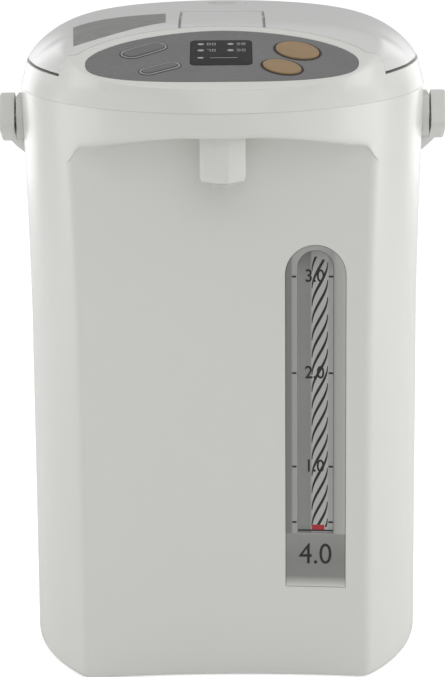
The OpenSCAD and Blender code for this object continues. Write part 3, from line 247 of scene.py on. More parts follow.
def box_mesh(low, high):
    """A block between two corners."""
    (x0, y0, z0), (x1, y1, z1) = low, high
    return prism([(x0, y0), (x1, y0), (x1, y1), (x0, y1)], z0, z1)


def bake(piece, angle=32):
    """Applies the piece's modifiers."""
    graph = bpy.context.evaluated_depsgraph_get()
    mesh = bpy.data.meshes.new_from_object(piece.evaluated_get(graph))
    piece.modifiers.clear()
    piece.data = mesh
    return shade(piece, angle)


def combine(piece, others, operation="DIFFERENCE", angle=32):
    """Cuts other solids from a piece, or joins or crosses them with it; they are used up."""
    for other in others:
        change = piece.modifiers.new("boolean", "BOOLEAN")
        change.operation = operation
        change.solver = "MANIFOLD"
        change.object = other
    bake(piece, angle)
    for other in others:
        bpy.data.objects.remove(other)
    return piece


def copy_of(piece, name):
    """A copy of a piece with its own mesh."""
    other = piece.copy()
    other.data = piece.data.copy()
    other.name = name
    bpy.context.scene.collection.objects.link(other)
    return other


def on_panel(ring):
    """Moves points from the panel's own plane to the plan."""
    p = np.asarray(ring, float)
    c, s = math.cos(SLOPE), math.sin(SLOPE)
    return np.column_stack([p[:, 0], PANEL_Y + p[:, 1] * c - p[:, 2] * s,
                            PANEL_Z + p[:, 1] * s + p[:, 2] * c])


def over_top(ring):
    """Moves points from the panel's plane to the top's surface, which bends down at its corners."""
    p = on_panel(ring)
    foot = on_panel(np.asarray(ring, float) * [1, 1, 0])
    r = np.minimum(share_of(foot[:, 0], foot[:, 1]), 1)
    p[:, 2] -= slope_height(foot[:, 1]) - top_height(r, foot[:, 1])
    return p


def done(piece, body, slot, *replaced, material=None):
    """Gives a piece its body, its slot with a finish, and the nodes that it replaces."""
    piece.data.materials.clear()
    piece.data.materials.append(material or SLOTS[slot])
    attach(piece, body)
    if replaced:
        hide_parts(*replaced)


# ---------- forms ----------

def flare(z):
    """The body widens above its waist."""
    t = np.clip((np.asarray(z, float) - FLARE_START) / (SEAM_Z - FLARE_START), 0, 1)
    return FLARE * t ** FLARE_POWER


def soft_max(a, b, k):
    """The larger of two values, blended where they are within k."""
    h = np.maximum(k - np.abs(a - b), 0) / k
    return np.maximum(a, b) + h * h * k / 4


def ceiling(x, grow):
    """Height of the recess's arch at a distance x from the middle."""
    flat = RECESS_HALF + grow - RECESS_CORNER

    def raw(v):
        v = abs(v)
        if v <= flat:
            return LIP_Z + grow - LIP_DROP * (max(0, 8 * v / flat - 2) / 6) ** 1.6
        v = min(v - flat, RECESS_CORNER)
        return LIP_Z + grow - LIP_DROP - RECESS_CORNER + math.sqrt(RECESS_CORNER ** 2 - v * v)

    return float(np.mean([raw(x + d) for d in (-3, -2, -1, 0, 1, 2, 3)]))


def wall_y(x, behind):
    """The recess wall's surface, and surfaces behind it."""
    return RECESS_Y - RECESS_R + np.sqrt((RECESS_R + behind) ** 2 - np.asarray(x, float) ** 2)


def body_column(angle, inset, lip, nook, cheek):
    """One column of the body's skin, from its lower edge to the seam."""
    s, c = math.sin(angle), math.cos(angle)
    depth = BODY_FRONT if c > 0 else BODY_REAR

    def outer(z, more=0.0):
        f = flare(z) - inset - more
        return (BODY_HALF + f) * s, -(depth + f) * c

    x_top, _ = outer(LIP_LOOK_Z)
    top = ceiling(x_top, inset) if c > 0 else ceiling(RECESS_HALF, inset)
    x, y = outer(top)
    room = float(soft_max(y, wall_y(x, inset), cheek) - y) if c > 0 else 0.0
    r1 = min(nook, 0.45 * room)
    r2 = min(lip, 0.45 * room)
    rows = []
    for step in (0.0, 0.25, 0.8, 1.7, LOW_EDGE):
        z = LOW_Z + step
        drawn = 1 - math.sqrt(max(0.0, 1 - (1 - step / LOW_EDGE) ** 2))
        more = LOW_DRAW * drawn if inset == 0 else 0.0
        x, y = outer(z, more)
        if c > 0:
            y = float(soft_max(y, wall_y(x, inset), cheek))
        rows.append((x, y, z))
    for z in np.linspace(LOW_Z + LOW_EDGE, top - r1, 52)[1:]:
        x, y = outer(z)
        if c > 0:
            y = float(soft_max(y, wall_y(x, inset), cheek))
        rows.append((x, y, z))
    x_wall, y_wall, _ = rows[-1]
    x_lip, y_lip = outer(top)
    for a in np.linspace(0, math.pi / 2, 7)[1:]:
        rows.append((x_wall, y_wall - r1 * (1 - math.cos(a)), top - r1 * (1 - math.sin(a))))
    y0 = y_wall - r1
    y1 = y_lip + r2
    for t in (0.25, 0.5, 0.75, 1.0):
        rows.append((x_wall + (x_lip - x_wall) * t, y0 + (y1 - y0) * t, top))
    for a in np.linspace(0, math.pi / 2, 7)[1:]:
        z = top + r2 * (1 - math.cos(a))
        rows.append((x_lip, y1 - r2 * math.sin(a), z))
    for z in np.linspace(top + r2, SEAM_Z, 9)[1:]:
        x, y = outer(z)
        rows.append((x, y, z))
    return rows


def body_solid():
    """The body's hollow shell, with its recess."""
    angles = np.concatenate([
        np.linspace(-math.pi, -math.pi / 2, 90, endpoint=False),
        np.linspace(-math.pi / 2, math.pi / 2, 420, endpoint=False),
        np.linspace(math.pi / 2, math.pi, 90, endpoint=False)])
    outside = np.array([body_column(a, 0.0, lip=3.5, nook=5.0, cheek=4.5) for a in angles])
    inside = np.array([body_column(a, WALL, lip=1.5, nook=6.0, cheek=4.5) for a in angles])
    rings = [outside[:, k] for k in range(outside.shape[1])]
    rings += [inside[:, k] for k in range(inside.shape[1])][::-1]
    return skin("body_shell_skin", rings, loop=True, angle=50)


def soft_min(a, b):
    """The smaller of two heights, with a soft change between them."""
    reach = 1.6
    return np.minimum(a, b) - reach * np.log1p(np.exp(-np.abs(a - b) / reach))


def slope_height(y):
    """Height of the panel's plane."""
    return PANEL_Z + (y - PANEL_Y) * math.tan(SLOPE)


def ease(t):
    """A share that starts and ends softly."""
    t = np.clip(t, 0, 1)
    return t * t * (3 - 2 * t)


def top_height(r, y):
    """The crown stays high near its rim at the front and at the rear, and falls softly at the sides."""
    fore, rear = ease((CROWN_FORE_Y - y) / CROWN_FORE_RUN), ease(y / CROWN_REAR_RUN)
    n = 5 + 4 * fore + 4 * rear
    root = 1.47 + 0.73 * fore + 1.25 * rear
    crown = RIM_Z + CROWN_RISE * np.maximum(0, 1 - r ** n) ** (1 / root)
    return soft_min(crown, slope_height(y))


def plan_ring(inset, n=480):
    """The body's plan, drawn in by inset."""
    a = np.linspace(0, 2 * math.pi, n, endpoint=False)
    depth = np.where(np.sin(a) < 0, BODY_FRONT, BODY_REAR)
    return np.column_stack([(BODY_HALF - inset) * np.cos(a), (depth - inset) * np.sin(a)])


def fullness(angle):
    """The top is a little fuller beside the panel's front corners."""
    from_front = np.abs((angle + 1.5 * math.pi) % (2 * math.pi) - math.pi)
    return 1 + FULL_SHARE * np.exp(-((from_front - FULL_AT) / FULL_SPREAD) ** 2)


def shoulders(ring):
    """A plan ring, fuller beside the panel."""
    return ring * fullness(np.linspace(0, 2 * math.pi, len(ring), endpoint=False))[:, None]


def share_of(x, y):
    """Distance of plan points from the middle, as a share of the top's rim."""
    u = x / (BODY_HALF + RIM_OVER)
    v = y / np.where(y < 0, BODY_FRONT + RIM_OVER, BODY_REAR + RIM_OVER)
    return np.hypot(u, v) / fullness(np.arctan2(v, u))


def top_solid(inset, low):
    """The top's outer form, drawn in and lowered by inset."""
    rim = shoulders(plan_ring(inset - RIM_OVER))
    wall = plan_ring(inset - FLARE)
    rings = [flat_ring(wall, low)]
    for t in (0.0, 0.33, 0.66):
        z = SEAM_Z + t * (RIM_Z - SEAM_Z)
        if z > low:
            rings.append(flat_ring(wall + (rim - wall) * t, z))
    shares = [1, 0.9965, 0.992, 0.985, 0.978, 0.97, 0.96, 0.95, 0.94]
    shares += list(np.linspace(0.93, 0.03, 70))
    for r in shares:
        p = rim * r
        z = top_height(np.full(len(p), float(r)), p[:, 1]) - inset
        rings.append(np.column_stack([p, z]))
    return skin("top", rings)


def signed_pow(v, p):
    """A power that keeps the sign."""
    return np.sign(v) * np.abs(v) ** p


def oval(grow, share=1.0, n=240):
    """The panel's outline, grown, and foreshortened along its depth."""
    a = np.linspace(0, 2 * math.pi, n, endpoint=False)
    front = np.sin(a) < 0
    power = 2 / np.where(front, OVAL_FORE, OVAL_BACK)
    depth = np.where(front, PANEL_FORE, PANEL_BACK) * share + grow
    return np.column_stack([(PANEL_HALF + grow) * signed_pow(np.cos(a), power),
                            depth * signed_pow(np.sin(a), power)])


def seam_oval(grow):
    """The panel's outline on the plan, grown."""
    return oval(grow, math.cos(SLOPE)) + [0, PANEL_Y]


def lid_zone(inset, low):
    """The space that the lid fills."""
    zone = box_mesh((-FAR, LID_FRONT + inset, low), (FAR, FAR, SKY))
    return combine(zone, [prism(seam_oval(SEAM_BAND + inset), 0, SKY + 20)])


# ---------- materials ----------

# Depth of the finishes' grain in metres
GRAIN_DEPTH = 0.0001


def linear(rgb):
    """Linear colour of 0-255 display values."""
    c = np.array(rgb, float) / 255
    c = np.where(c <= 0.04045, c / 12.92, ((c + 0.055) / 1.055) ** 2.4)
    return tuple(c) + (1.0,)


def surface(name, rgb, rough, spread, rough_spread=0.06, grain=1400.0, bump=0.05,
            metallic=0.0, edge=0.0, stretch=None, mottle=14.0, transmission=0.0, ior=1.46):
    """A procedural finish: two close tones, uneven gloss and a fine grain."""
    mat = bpy.data.materials.new(name)
    mat.use_nodes = True
    nodes, links = mat.node_tree.nodes, mat.node_tree.links
    shader = nodes["Principled BSDF"]
    coord = nodes.new("ShaderNodeTexCoord")
    place = nodes.new("ShaderNodeMapping")
    if stretch:
        place.inputs["Scale"].default_value = stretch
    links.new(coord.outputs["Object"], place.inputs["Vector"])

    def noise(scale, detail):
        n = nodes.new("ShaderNodeTexNoise")
        n.inputs["Scale"].default_value = scale
        n.inputs["Detail"].default_value = detail
        links.new(place.outputs["Vector"], n.inputs["Vector"])
        return n.outputs["Fac"]

    base = np.array(linear(rgb)[:3])
    ramp = nodes.new("ShaderNodeValToRGB")
    ramp.color_ramp.elements[0].position = 0.3
    ramp.color_ramp.elements[1].position = 0.7
    ramp.color_ramp.elements[0].color = tuple(base * (1 - spread)) + (1,)
    ramp.color_ramp.elements[1].color = tuple(np.minimum(1, base * (1 + spread))) + (1,)
    links.new(noise(mottle, 4.0), ramp.inputs["Fac"])
    links.new(ramp.outputs["Color"], shader.inputs["Base Color"])
    gloss = nodes.new("ShaderNodeMapRange")
    gloss.inputs["From Min"].default_value = 0.3
    gloss.inputs["From Max"].default_value = 0.7
    gloss.inputs["To Min"].default_value = max(0.02, rough - rough_spread)
    gloss.inputs["To Max"].default_value = rough + rough_spread
    links.new(noise(mottle * 9, 3.0), gloss.inputs["Value"])
    links.new(gloss.outputs["Result"], shader.inputs["Roughness"])
    relief = nodes.new("ShaderNodeBump")
    relief.inputs["Strength"].default_value = bump
    relief.inputs["Distance"].default_value = GRAIN_DEPTH
    links.new(noise(grain, 2.0), relief.inputs["Height"])
    if edge > 0:
        bevel = nodes.new("ShaderNodeBevel")
        bevel.samples = 6
        bevel.inputs["Radius"].default_value = edge
        links.new(bevel.outputs["Normal"], relief.inputs["Normal"])
    links.new(relief.outputs["Normal"], shader.inputs["Normal"])
    shader.inputs["Metallic"].default_value = metallic
    shader.inputs["IOR"].default_value = ior
    shader.inputs["Transmission Weight"].default_value = transmission
    return mat


def along(mat, axis, stops):
    """A grey ramp along one axis of the plan, from (millimetres, share) stops."""
    nodes, links = mat.node_tree.nodes, mat.node_tree.links
    coord = nodes.new("ShaderNodeTexCoord")
    split = nodes.new("ShaderNodeSeparateXYZ")
    links.new(coord.outputs["Object"], split.inputs["Vector"])
    low, high = stops[0][0], stops[-1][0]
    span = nodes.new("ShaderNodeMapRange")
    span.inputs["From Min"].default_value = low * 0.001
    span.inputs["From Max"].default_value = high * 0.001
    links.new(split.outputs[axis], span.inputs["Value"])
    ramp = nodes.new("ShaderNodeValToRGB")
    links.new(span.outputs["Result"], ramp.inputs["Fac"])
    for _ in stops[2:]:
        ramp.color_ramp.elements.new(0.5)
    for stop, (place, share) in zip(ramp.color_ramp.elements, stops):
        stop.position = (place - low) / (high - low)
        stop.color = (share, share, share, 1)
    return ramp.outputs["Color"]


def blend(mat, kind, first, second, factor=None):
    """Mixes or multiplies two colours of a material."""
    mix = mat.node_tree.nodes.new("ShaderNodeMix")
    mix.data_type = "RGBA"
    mix.blend_type = kind
    mix.inputs["Factor"].default_value = 1.0
    if factor is not None:
        mat.node_tree.links.new(factor, mix.inputs["Factor"])
    colours = [k for k in mix.inputs if k.type == "RGBA"]
    mat.node_tree.links.new(first, colours[0])
    mat.node_tree.links.new(second, colours[1])
    return [k for k in mix.outputs if k.type == "RGBA"][0]


def shaded(mat, tone):
    """Multiplies a finish's colour by a tone."""
    colour = mat.node_tree.nodes["Principled BSDF"].inputs["Base Color"]
    mat.node_tree.links.new(blend(mat, "MULTIPLY", colour.links[0].from_socket, tone), colour)


WHITE = surface("white_plastic", (226, 227, 222), 0.24, 0.006, rough_spread=0.02, edge=0.0007,
                grain=1800, bump=0.06, mottle=9, ior=1.52)
LID = surface("lid_plastic", (222, 222, 221), 0.3, 0.006, rough_spread=0.02, edge=0.0006,
              grain=1700, bump=0.08, mottle=9)
INNER = surface("inner_plastic", (214, 214, 208), 0.42, 0.02, grain=1500, bump=0.08)
HANDLE = surface("handle_plastic", (216, 216, 212), 0.34, 0.012, rough_spread=0.03, edge=0.0008,
                 grain=1500, bump=0.1, mottle=12)
PANEL = surface("panel_film", (115, 115, 115), 0.42, 0.05, grain=2600, bump=0.12, mottle=40)
KEY = surface("key_grey", (106, 106, 106), 0.38, 0.05, edge=0.0003, grain=2200, bump=0.08, mottle=60)
GOLD = surface("key_gold", (154, 126, 88), 0.36, 0.07, edge=0.0003, grain=2200, bump=0.08, mottle=60)
# A dark ring painted as the shadow round each key.
RING_SHADOW = surface("ring_shadow", (48, 44, 38), 0.5, 0.08, grain=2400, bump=0.1, mottle=60)
# A light ring painted as the highlight on a grey key's bevelled ring.
RING_HIGHLIGHT = surface("ring_highlight", (168, 168, 167), 0.42, 0.05, grain=2400, bump=0.1, mottle=60)
DISPLAY = surface("display_dark", (42, 42, 43), 0.4, 0.1, rough_spread=0.04, grain=900, bump=0.02,
                  mottle=30, ior=1.22)
PRINT_PALE = surface("print_pale", (168, 168, 166), 0.5, 0.06, grain=2500, bump=0.1, mottle=80)
PRINT_DARK = surface("print_dark", (38, 38, 38), 0.5, 0.1, grain=2500, bump=0.1, mottle=80)
PRINT_RED = surface("print_red", (178, 46, 54), 0.5, 0.08, grain=2500, bump=0.1, mottle=80)
FRAME = surface("frame_silver", (226, 227, 222), 0.36, 0.01, edge=0.0005, grain=1600, bump=0.08)
# Painted shade on the frame: beside the pane its left side is darker, as shade, and its right side lighter;
# below the pane its colour darkens from the bottom edge upwards.
shaded(FRAME, blend(
    FRAME, "MIX",
    along(FRAME, "Z", ((51, 0.98), (54.5, 0.6), (57, 0.36), (66, 0.34), (80, 0.4))),
    along(FRAME, "X", ((32.5, 0.29), (35.4, 0.3), (36.4, 0.5), (38.6, 0.51), (48, 0.54), (57.6, 0.44),
                       (59.5, 0.56), (64.5, 0.62))),
    along(FRAME, "Z", ((80.6, 0), (81.4, 1)))))
WINDOW = surface("clear_window", (190, 190, 187), 0.16, 0.03, rough_spread=0.03, grain=700,
                 bump=0.02, mottle=25)
# Across the pane: a dark band on its left is painted shadow of the tube behind it, a light strip runs up its
# middle, and its right side is a mid grey.
shaded(WINDOW, along(WINDOW, "X", ((39, 0.8), (39.8, 0.53), (45.6, 0.5), (46.8, 0.92), (54.6, 0.92),
                                   (55.6, 0.74), (57.4, 0.76), (58, 0.9))))
# Painted shadow under the pane's round top, and the pane a little darker at its lower end.
shaded(WINDOW, along(WINDOW, "Z", ((81.6, 0.85), (86, 1.0), (222, 1.0), (236, 0.6))))
LABEL = surface("label_film", (141, 141, 139), 0.4, 0.14, grain=600, bump=0.25, mottle=160,
                stretch=(1.0, 2.6, 1.0))
STEEL = surface("vessel_steel", (196, 196, 194), 0.26, 0.05, metallic=1.0, grain=900, bump=0.05,
                stretch=(1, 1, 24))
SHEET = surface("sheet_steel", (176, 178, 180), 0.36, 0.07, metallic=1.0, grain=700, bump=0.08,
                stretch=(1, 1, 12))
PIN = surface("pin_steel", (190, 190, 190), 0.28, 0.05, metallic=1.0, grain=1200, bump=0.05)
BACKING = surface("backing_dark", (140, 140, 138), 0.5, 0.05, grain=1400, bump=0.1)
TUBE = surface("tube_glass", (205, 214, 216), 0.08, 0.02, rough_spread=0.02, grain=500, bump=0.01,
               transmission=0.85)
DARK = surface("dark_plastic", (48, 48, 50), 0.5, 0.1, grain=1200, bump=0.15)
BASE = surface("base_plastic", (206, 206, 202), 0.45, 0.03, edge=0.0006, grain=1300, bump=0.12)
RUBBER = surface("foot_rubber", (52, 52, 52), 0.75, 0.1, grain=800, bump=0.3)
SILICONE = surface("silicone", (214, 212, 204), 0.55, 0.04, grain=900, bump=0.15)
MICA = surface("heater_mica", (150, 122, 84), 0.5, 0.12, grain=500, bump=0.2, mottle=60)
BOARD = surface("board_green", (42, 92, 58), 0.4, 0.14, grain=1500, bump=0.1, mottle=90)
PARTS = surface("parts_black", (34, 34, 36), 0.45, 0.1, grain=1300, bump=0.15)
WIRE = surface("wire_red", (172, 44, 38), 0.45, 0.08, grain=1200, bump=0.1)
MAGNET = surface("magnet", (70, 70, 74), 0.42, 0.1, metallic=0.6, grain=900, bump=0.12)
MOTOR = surface("motor_metal", (168, 170, 172), 0.35, 0.07, metallic=1.0, grain=800, bump=0.1)
BRASS = surface("contact_brass", (198, 162, 84), 0.3, 0.07, metallic=1.0, grain=900, bump=0.06)

SLOTS = {mat.name.split(".")[0]: mat for mat in (
    WHITE, LID, INNER, HANDLE, KEY, GOLD, DISPLAY, FRAME, WINDOW, STEEL, SHEET, PIN, BACKING, TUBE, DARK,
    BASE, RUBBER, SILICONE, MICA, BOARD, PARTS, WIRE, MAGNET, MOTOR, BRASS)}
SLOTS["panel_grey"] = PANEL

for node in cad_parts.values():
    for place in node.material_slots:
        place.material = SLOTS[place.material.name.split(".")[0]]


# ---------- body ----------

def gauge_outline(width, low, high, n=24):
    """An upright strip with a round top, as (x, height) points."""
    r = width / 2
    a = np.linspace(0, math.pi, n + 1)
    arc = np.column_stack([GAUGE_X + r * np.cos(a), high - r + r * np.sin(a)])
    return np.concatenate([[[GAUGE_X - r, low], [GAUGE_X + r, low]], arc])


def upright(outline, front, back):
    """A prism standing in the front plane: its outline is (x, height)."""
    o = np.asarray(outline, float)
    a = np.column_stack([o[:, 0], np.full(len(o), front), o[:, 1]])
    b = np.column_stack([o[:, 0], np.full(len(o), back), o[:, 1]])
    return skin("cutter", [a, b])


body = combine(body_solid(), [
    upright(gauge_outline(GAUGE_WIDTH + 2 * GAUGE_FIT, GAUGE_LOW - GAUGE_FIT, GAUGE_HIGH + GAUGE_FIT),
            -104, -70),
    prism(circle(0, SPOUT_Y, NOZZLE_HOLE_R), 290, 312),
    cylinder_x(0, PIVOT_Z, PIVOT_HOLE_R, 98, 120),
    cylinder_x(0, PIVOT_Z, PIVOT_HOLE_R, -120, -98),
    box_mesh((-INLET_HALF, 100, INLET_LOW), (INLET_HALF, 130, INLET_HIGH)),
], angle=50)
done(body, "pot", "white_plastic", "body_shell")


# ---------- collar, lid and lever ----------

# Height at which the forms inside the top end
INSIDE_LOW = 300

top = top_solid(0, SEAM_Z)
top_in = top_solid(WALL, INSIDE_LOW)

lid = combine(copy_of(top, "lid_skin"), [lid_zone(0, SPLIT_Z)], "INTERSECT")
hollow = combine(copy_of(top_in, "hollow"), [lid_zone(WALL, SPLIT_Z - 1)], "INTERSECT")
rear = box_mesh((-HINGE_HALF, HINGE[0], 0), (HINGE_HALF, FAR, SKY))
combine(rear, [cylinder_x(*HINGE, BARREL_R, -120, 120, 96)])
walls_half, walls_rear = LEVER_HALF + SLOT_WALL, SLOT_REAR + SLOT_WALL
pocket = box_mesh((-walls_half, -FAR, 0), (walls_half, walls_rear, SKY))
combine(pocket, [top_solid(SLOT_FLOOR, INSIDE_LOW)])
combine(hollow, [
    box_mesh((-HINGE_HALF, HOLLOW_REAR, 0), (HINGE_HALF, FAR, SKY)),
    pocket,
    box_mesh((-walls_half, BOSS_FRONT, BOSS_LOW), (walls_half, walls_rear, SKY)),
    prism(circle(0, VENT_Y, VENT_POCKET_R), VENT_POCKET_Z, SKY),
])
slot = box_mesh((-LEVER_HALF, -FAR, SLOT_LOW), (LEVER_HALF, SLOT_REAR, SKY))
combine(slot, [top_solid(SLOT_DEEP, INSIDE_LOW)])
combine(lid, [
    rear, hollow, slot,
    box_mesh((-KNUCKLE_HALF, KNUCKLE_FRONT, 0), (KNUCKLE_HALF, FAR, SKY)),
    prism(circle(0, VENT_Y, VENT_SEAT_R), VENT_SEAT_Z, SKY),
    prism(circle(0, VENT_Y, VENT_HOLE_R), VENT_HOLE_Z, SKY),
])
done(lid, "lid", "lid_plastic", "lid_shell")

lever_side = LEVER_HALF - LEVER_GAP
lever = combine(copy_of(top, "lid_lever_skin"), [
    lid_zone(0.1, SPLIT_Z),
    box_mesh((-lever_side, -FAR, 0), (lever_side, LEVER_PIN[0], SKY)),
], "INTERSECT")
combine(lever, [top_solid(LEVER_THICK, INSIDE_LOW)])
combine(lever, [cylinder_x(*LEVER_PIN, LEVER_BOSS_R, -lever_side, lever_side)], "UNION")
done(lever, "lever", "lid_plastic", "lid_lever")


def vent_slat(i):
    """A slit of the vent's grille, counted from the middle one."""
    y, half = VENT_Y + SLAT_PITCH * i, SLAT_REACH - abs(i)
    return box_mesh((-half, y - SLAT_HALF, VENT_HOLE_Z), (half, y + SLAT_HALF, SKY))


vent = combine(copy_of(top, "vent_grille"), [prism(circle(0, VENT_Y, VENT_R), VENT_SEAT_Z, SKY)],
               "INTERSECT")
combine(vent, [prism(circle(0, VENT_Y, VENT_HOLE_R), VENT_HOLE_Z, VENT_SKIN_Z)]
        + [vent_slat(i) for i in range(-2, 3)])
done(vent, "lid", "lid_plastic", "vent_cap")

collar = copy_of(top, "collar_skin")
slits = box_mesh((-FAR, LID_FRONT, SPLIT_Z - SLIT_BELOW), (FAR, 0, SPLIT_Z + SLIT_ABOVE))
combine(slits, [prism(plan_ring(SLIT_DEPTH), INSIDE_LOW, 330)])
inner = copy_of(top_in, "inner")
front_zone = combine(prism(seam_oval(SEAM_BAND - WALL), DECK_LOW, SKY),
                     [box_mesh((-FAR, -600, DECK_LOW - 0.1), (FAR, DECK_FRONT, SKY + 0.5))], "UNION")
deck = combine(box_mesh((-250, -250, DECK_LOW), (250, 250, SKY)), [front_zone])
combine(inner, [deck])
seat = oval(PANEL_GAP)
panel_seat = skin("cutter", [over_top(flat_ring(seat, -PANEL_THICK - PANEL_GAP)),
                             on_panel(flat_ring(seat, 20))])
combine(collar, [
    lid_zone(-LID_GAP, SPLIT_Z - SPLIT_GAP), slits, inner,
    combine(lid_zone(-LID_GAP, DECK_TOP), [prism(plan_ring(WALL + 1), INSIDE_LOW, 400)], "INTERSECT"),
    prism(circle(0, MOUTH_Y, MOUTH_R), 310, DECK_TOP + 1),
    panel_seat,
    cylinder_x(*HINGE, BARREL_R + BARREL_GAP, KNUCKLE_HALF, HINGE_HALF + 1),
    cylinder_x(*HINGE, BARREL_R + BARREL_GAP, -HINGE_HALF - 1, -KNUCKLE_HALF),
    box_mesh(*LATCH_HOLE),
])
done(collar, "pot", "white_plastic", "collar")

for spare in (top, top_in):
    bpy.data.objects.remove(spare)


# ---------- control panel ----------

def at(outline_of, x, y, turn):
    """An outline placed on the panel, as a function of its inset."""
    t = math.radians(turn)
    spin = np.array([[math.cos(t), math.sin(t)], [-math.sin(t), math.cos(t)]])
    return lambda inset: np.asarray(outline_of(-inset)) @ spin + [x, y]


def ellipse_of(rx, ry, n=72):
    """An ellipse as a function of how far it grows."""
    a = np.linspace(0, 2 * math.pi, n, endpoint=False)
    return lambda grow: np.column_stack([(rx + grow) * np.cos(a), (ry + grow) * np.sin(a)])


def pill_of(length, width, n=16):
    """A long key with round ends as a function of how far it grows."""
    def outline(grow):
        r = width / 2 + grow
        half = (length - width) / 2
        a = np.linspace(math.pi / 2, -math.pi / 2, n + 1)
        right = np.column_stack([half + r * np.cos(a), r * np.sin(a)])
        return np.concatenate([right, -right])
    return outline


def box_of(w, h, radius):
    """A rounded box as a function of how far it grows."""
    return lambda grow: round_box(w + 2 * grow, h + 2 * grow, radius + grow)


panel = plate("panel_plate", lambda i: oval(-i), -PANEL_THICK, 0.0, 0.35, over_top, 0.001)

# Outline, place and turn of each key on the panel, its ring's painted light (a painted shadow round the gold
# keys, a painted highlight round the grey ones) and its slot
keys = {
    "dispense": (at(ellipse_of(13.2, 9.6), 39.1, 13.2, -50), RING_SHADOW, "key_gold"),
    "unlock": (at(ellipse_of(11.4, 7.8), 30.7, -8.6, -44), RING_SHADOW, "key_gold"),
    "boil": (at(pill_of(24.2, 9.2), -40.6, 15.2, 38), RING_HIGHLIGHT, "key_grey"),
    "temperature": (at(pill_of(20.4, 6.2), -31.7, -9.1, 33), RING_HIGHLIGHT, "key_grey"),
}
display_of = at(box_of(32, 34, 3.0), -0.4, 11.5, 0)


def panel_hole(outline, gap):
    """A cutter through the panel, wider than an outline by a gap."""
    return skin("cutter", [on_panel(flat_ring(outline(-gap), z)) for z in (-9, 9)])


combine(panel, [panel_hole(k[0], KEY_GAP) for k in keys.values()] + [panel_hole(display_of, DISPLAY_GAP)])
done(panel, "pot", "panel_grey", "control_panel")

display = plate("display_glass", display_of, -2.2, 0.05, 0.25, on_panel)
done(display, "pot", "display_dark", "display_window")


def rim(name, outline, width, low, high):
    """A thin raised ring round an outline on the panel, its upper edges bevelled."""
    bevel, drop = 0.12, 0.1
    steps = [(-width, low), (-width, high - drop), (-width + bevel, high), (-bevel, high),
             (0.0, high - drop), (0.0, low)]
    return skin(name, [on_panel(flat_ring(outline(i), z)) for i, z in steps], loop=True)


# Heights over the panel of the keys' caps and of the flanges that hold them under it
CAP_LOW, CAP_HIGH, CAP_DOME = -5.4, 0.75, 0.15
FLANGE_LOW, FLANGE_HIGH, FLANGE_OUT = -4.1, -2.9, 1.2

for name, (outline, painted_ring_light, slot_name) in keys.items():
    cap = plate(name + "_cap", outline, CAP_LOW, CAP_HIGH, 0.45, on_panel, CAP_DOME)
    flange = plate(name + "_flange", lambda i, o=outline: o(i - FLANGE_OUT), FLANGE_LOW, FLANGE_HIGH,
                   0.2, on_panel)
    combine(cap, [flange], "UNION")
    done(cap, name + "_key", slot_name, name + "_button")
    # The raised ring round each key carries painted light: shadow round the gold keys, highlight round the
    # grey ones.
    edge = rim(name + "_rim", lambda i, o=outline: o(i - 0.4), 0.9, -0.3, 0.28)
    done(edge, "pot", "panel_grey", material=painted_ring_light)
    # The grey keys also get a dark ring outside the light one, painted as its shadow.
    if painted_ring_light is RING_HIGHLIGHT:
        line = rim(name + "_line", lambda i, o=outline: o(i - 1.35), 0.6, -0.3, 0.16)
        done(line, "pot", "panel_grey", material=RING_SHADOW)


def printed(name, outline):
    """A thin pale print on the display."""
    low, high = 0.06, 0.12
    piece = skin(name, [on_panel(flat_ring(outline, low)), on_panel(flat_ring(outline, high))])
    done(piece, "pot", "display_dark", material=PRINT_PALE)


# Seven-segment bars of the figures on the display
SEGMENTS = {"0": "abcdef", "7": "abc", "8": "abcdefg", "9": "abcfgd"}


def figure_bars(digit, x, y, w, h, t):
    """Outlines of one figure's bars, its lower left corner at x, y."""
    m = y + h / 2
    bars = {
        "a": (x, y + h - t, x + w, y + h), "d": (x, y, x + w, y + t), "g": (x, m - t / 2, x + w, m + t / 2),
        "f": (x, m, x + t, y + h), "e": (x, y, x + t, m), "b": (x + w - t, m, x + w, y + h),
        "c": (x + w - t, y, x + w, m),
    }
    return [[(a, b), (c, b), (c, d), (a, d)] for k, (a, b, c, d) in bars.items()
            if k in SEGMENTS[digit]]


# The display's lamps, each with a temperature beside it, and a lamp with a line below them
LAMP_R = 1.7
DIGIT_START, DIGIT_PITCH, DIGIT_WIDE, DIGIT_HIGH, BAR_WIDE = 3.2, 2.6, 1.9, 3.2, 0.4
temperatures = {(-11.0, 23.0): "80", (4.5, 23.0): "98", (-11.0, 14.5): "70", (4.5, 14.5): "90"}
for count, ((x, y), text) in enumerate(temperatures.items()):
    printed("display_lamp_%d" % count, ellipse_of(LAMP_R, 1.3, 24)(0) + [x, y])
    for k, digit in enumerate(text):
        left, foot = x + DIGIT_START + DIGIT_PITCH * k, y - 1.5
        for j, bar in enumerate(figure_bars(digit, left, foot, DIGIT_WIDE, DIGIT_HIGH, BAR_WIDE)):
            printed("display_bar_%d_%d_%d" % (count, k, j), bar)
printed("display_lamp_4", ellipse_of(LAMP_R, 1.0, 24)(0) + [-11, 4.5])
printed("display_line", [(-6, 4.2), (8, 4.2), (8, 4.7), (-6, 4.7)])


# ---------- label strip on the lid ----------

def top_at(points, lift):
    """Heights of the top's surface over plan points."""
    p = np.asarray(points, float)
    r = np.minimum(share_of(p[:, 0], p[:, 1]), 0.999)
    return np.column_stack([p, top_height(r, p[:, 1]) + lift])


# The film's faces over and under the lid's surface, and its corners on the plan
LABEL_LIFT, LABEL_SUNK = 0.05, 0.1
LABEL_CORNERS = ((-80.7, -24), (-77.4, -80), (-30, -43), (-31, 0))


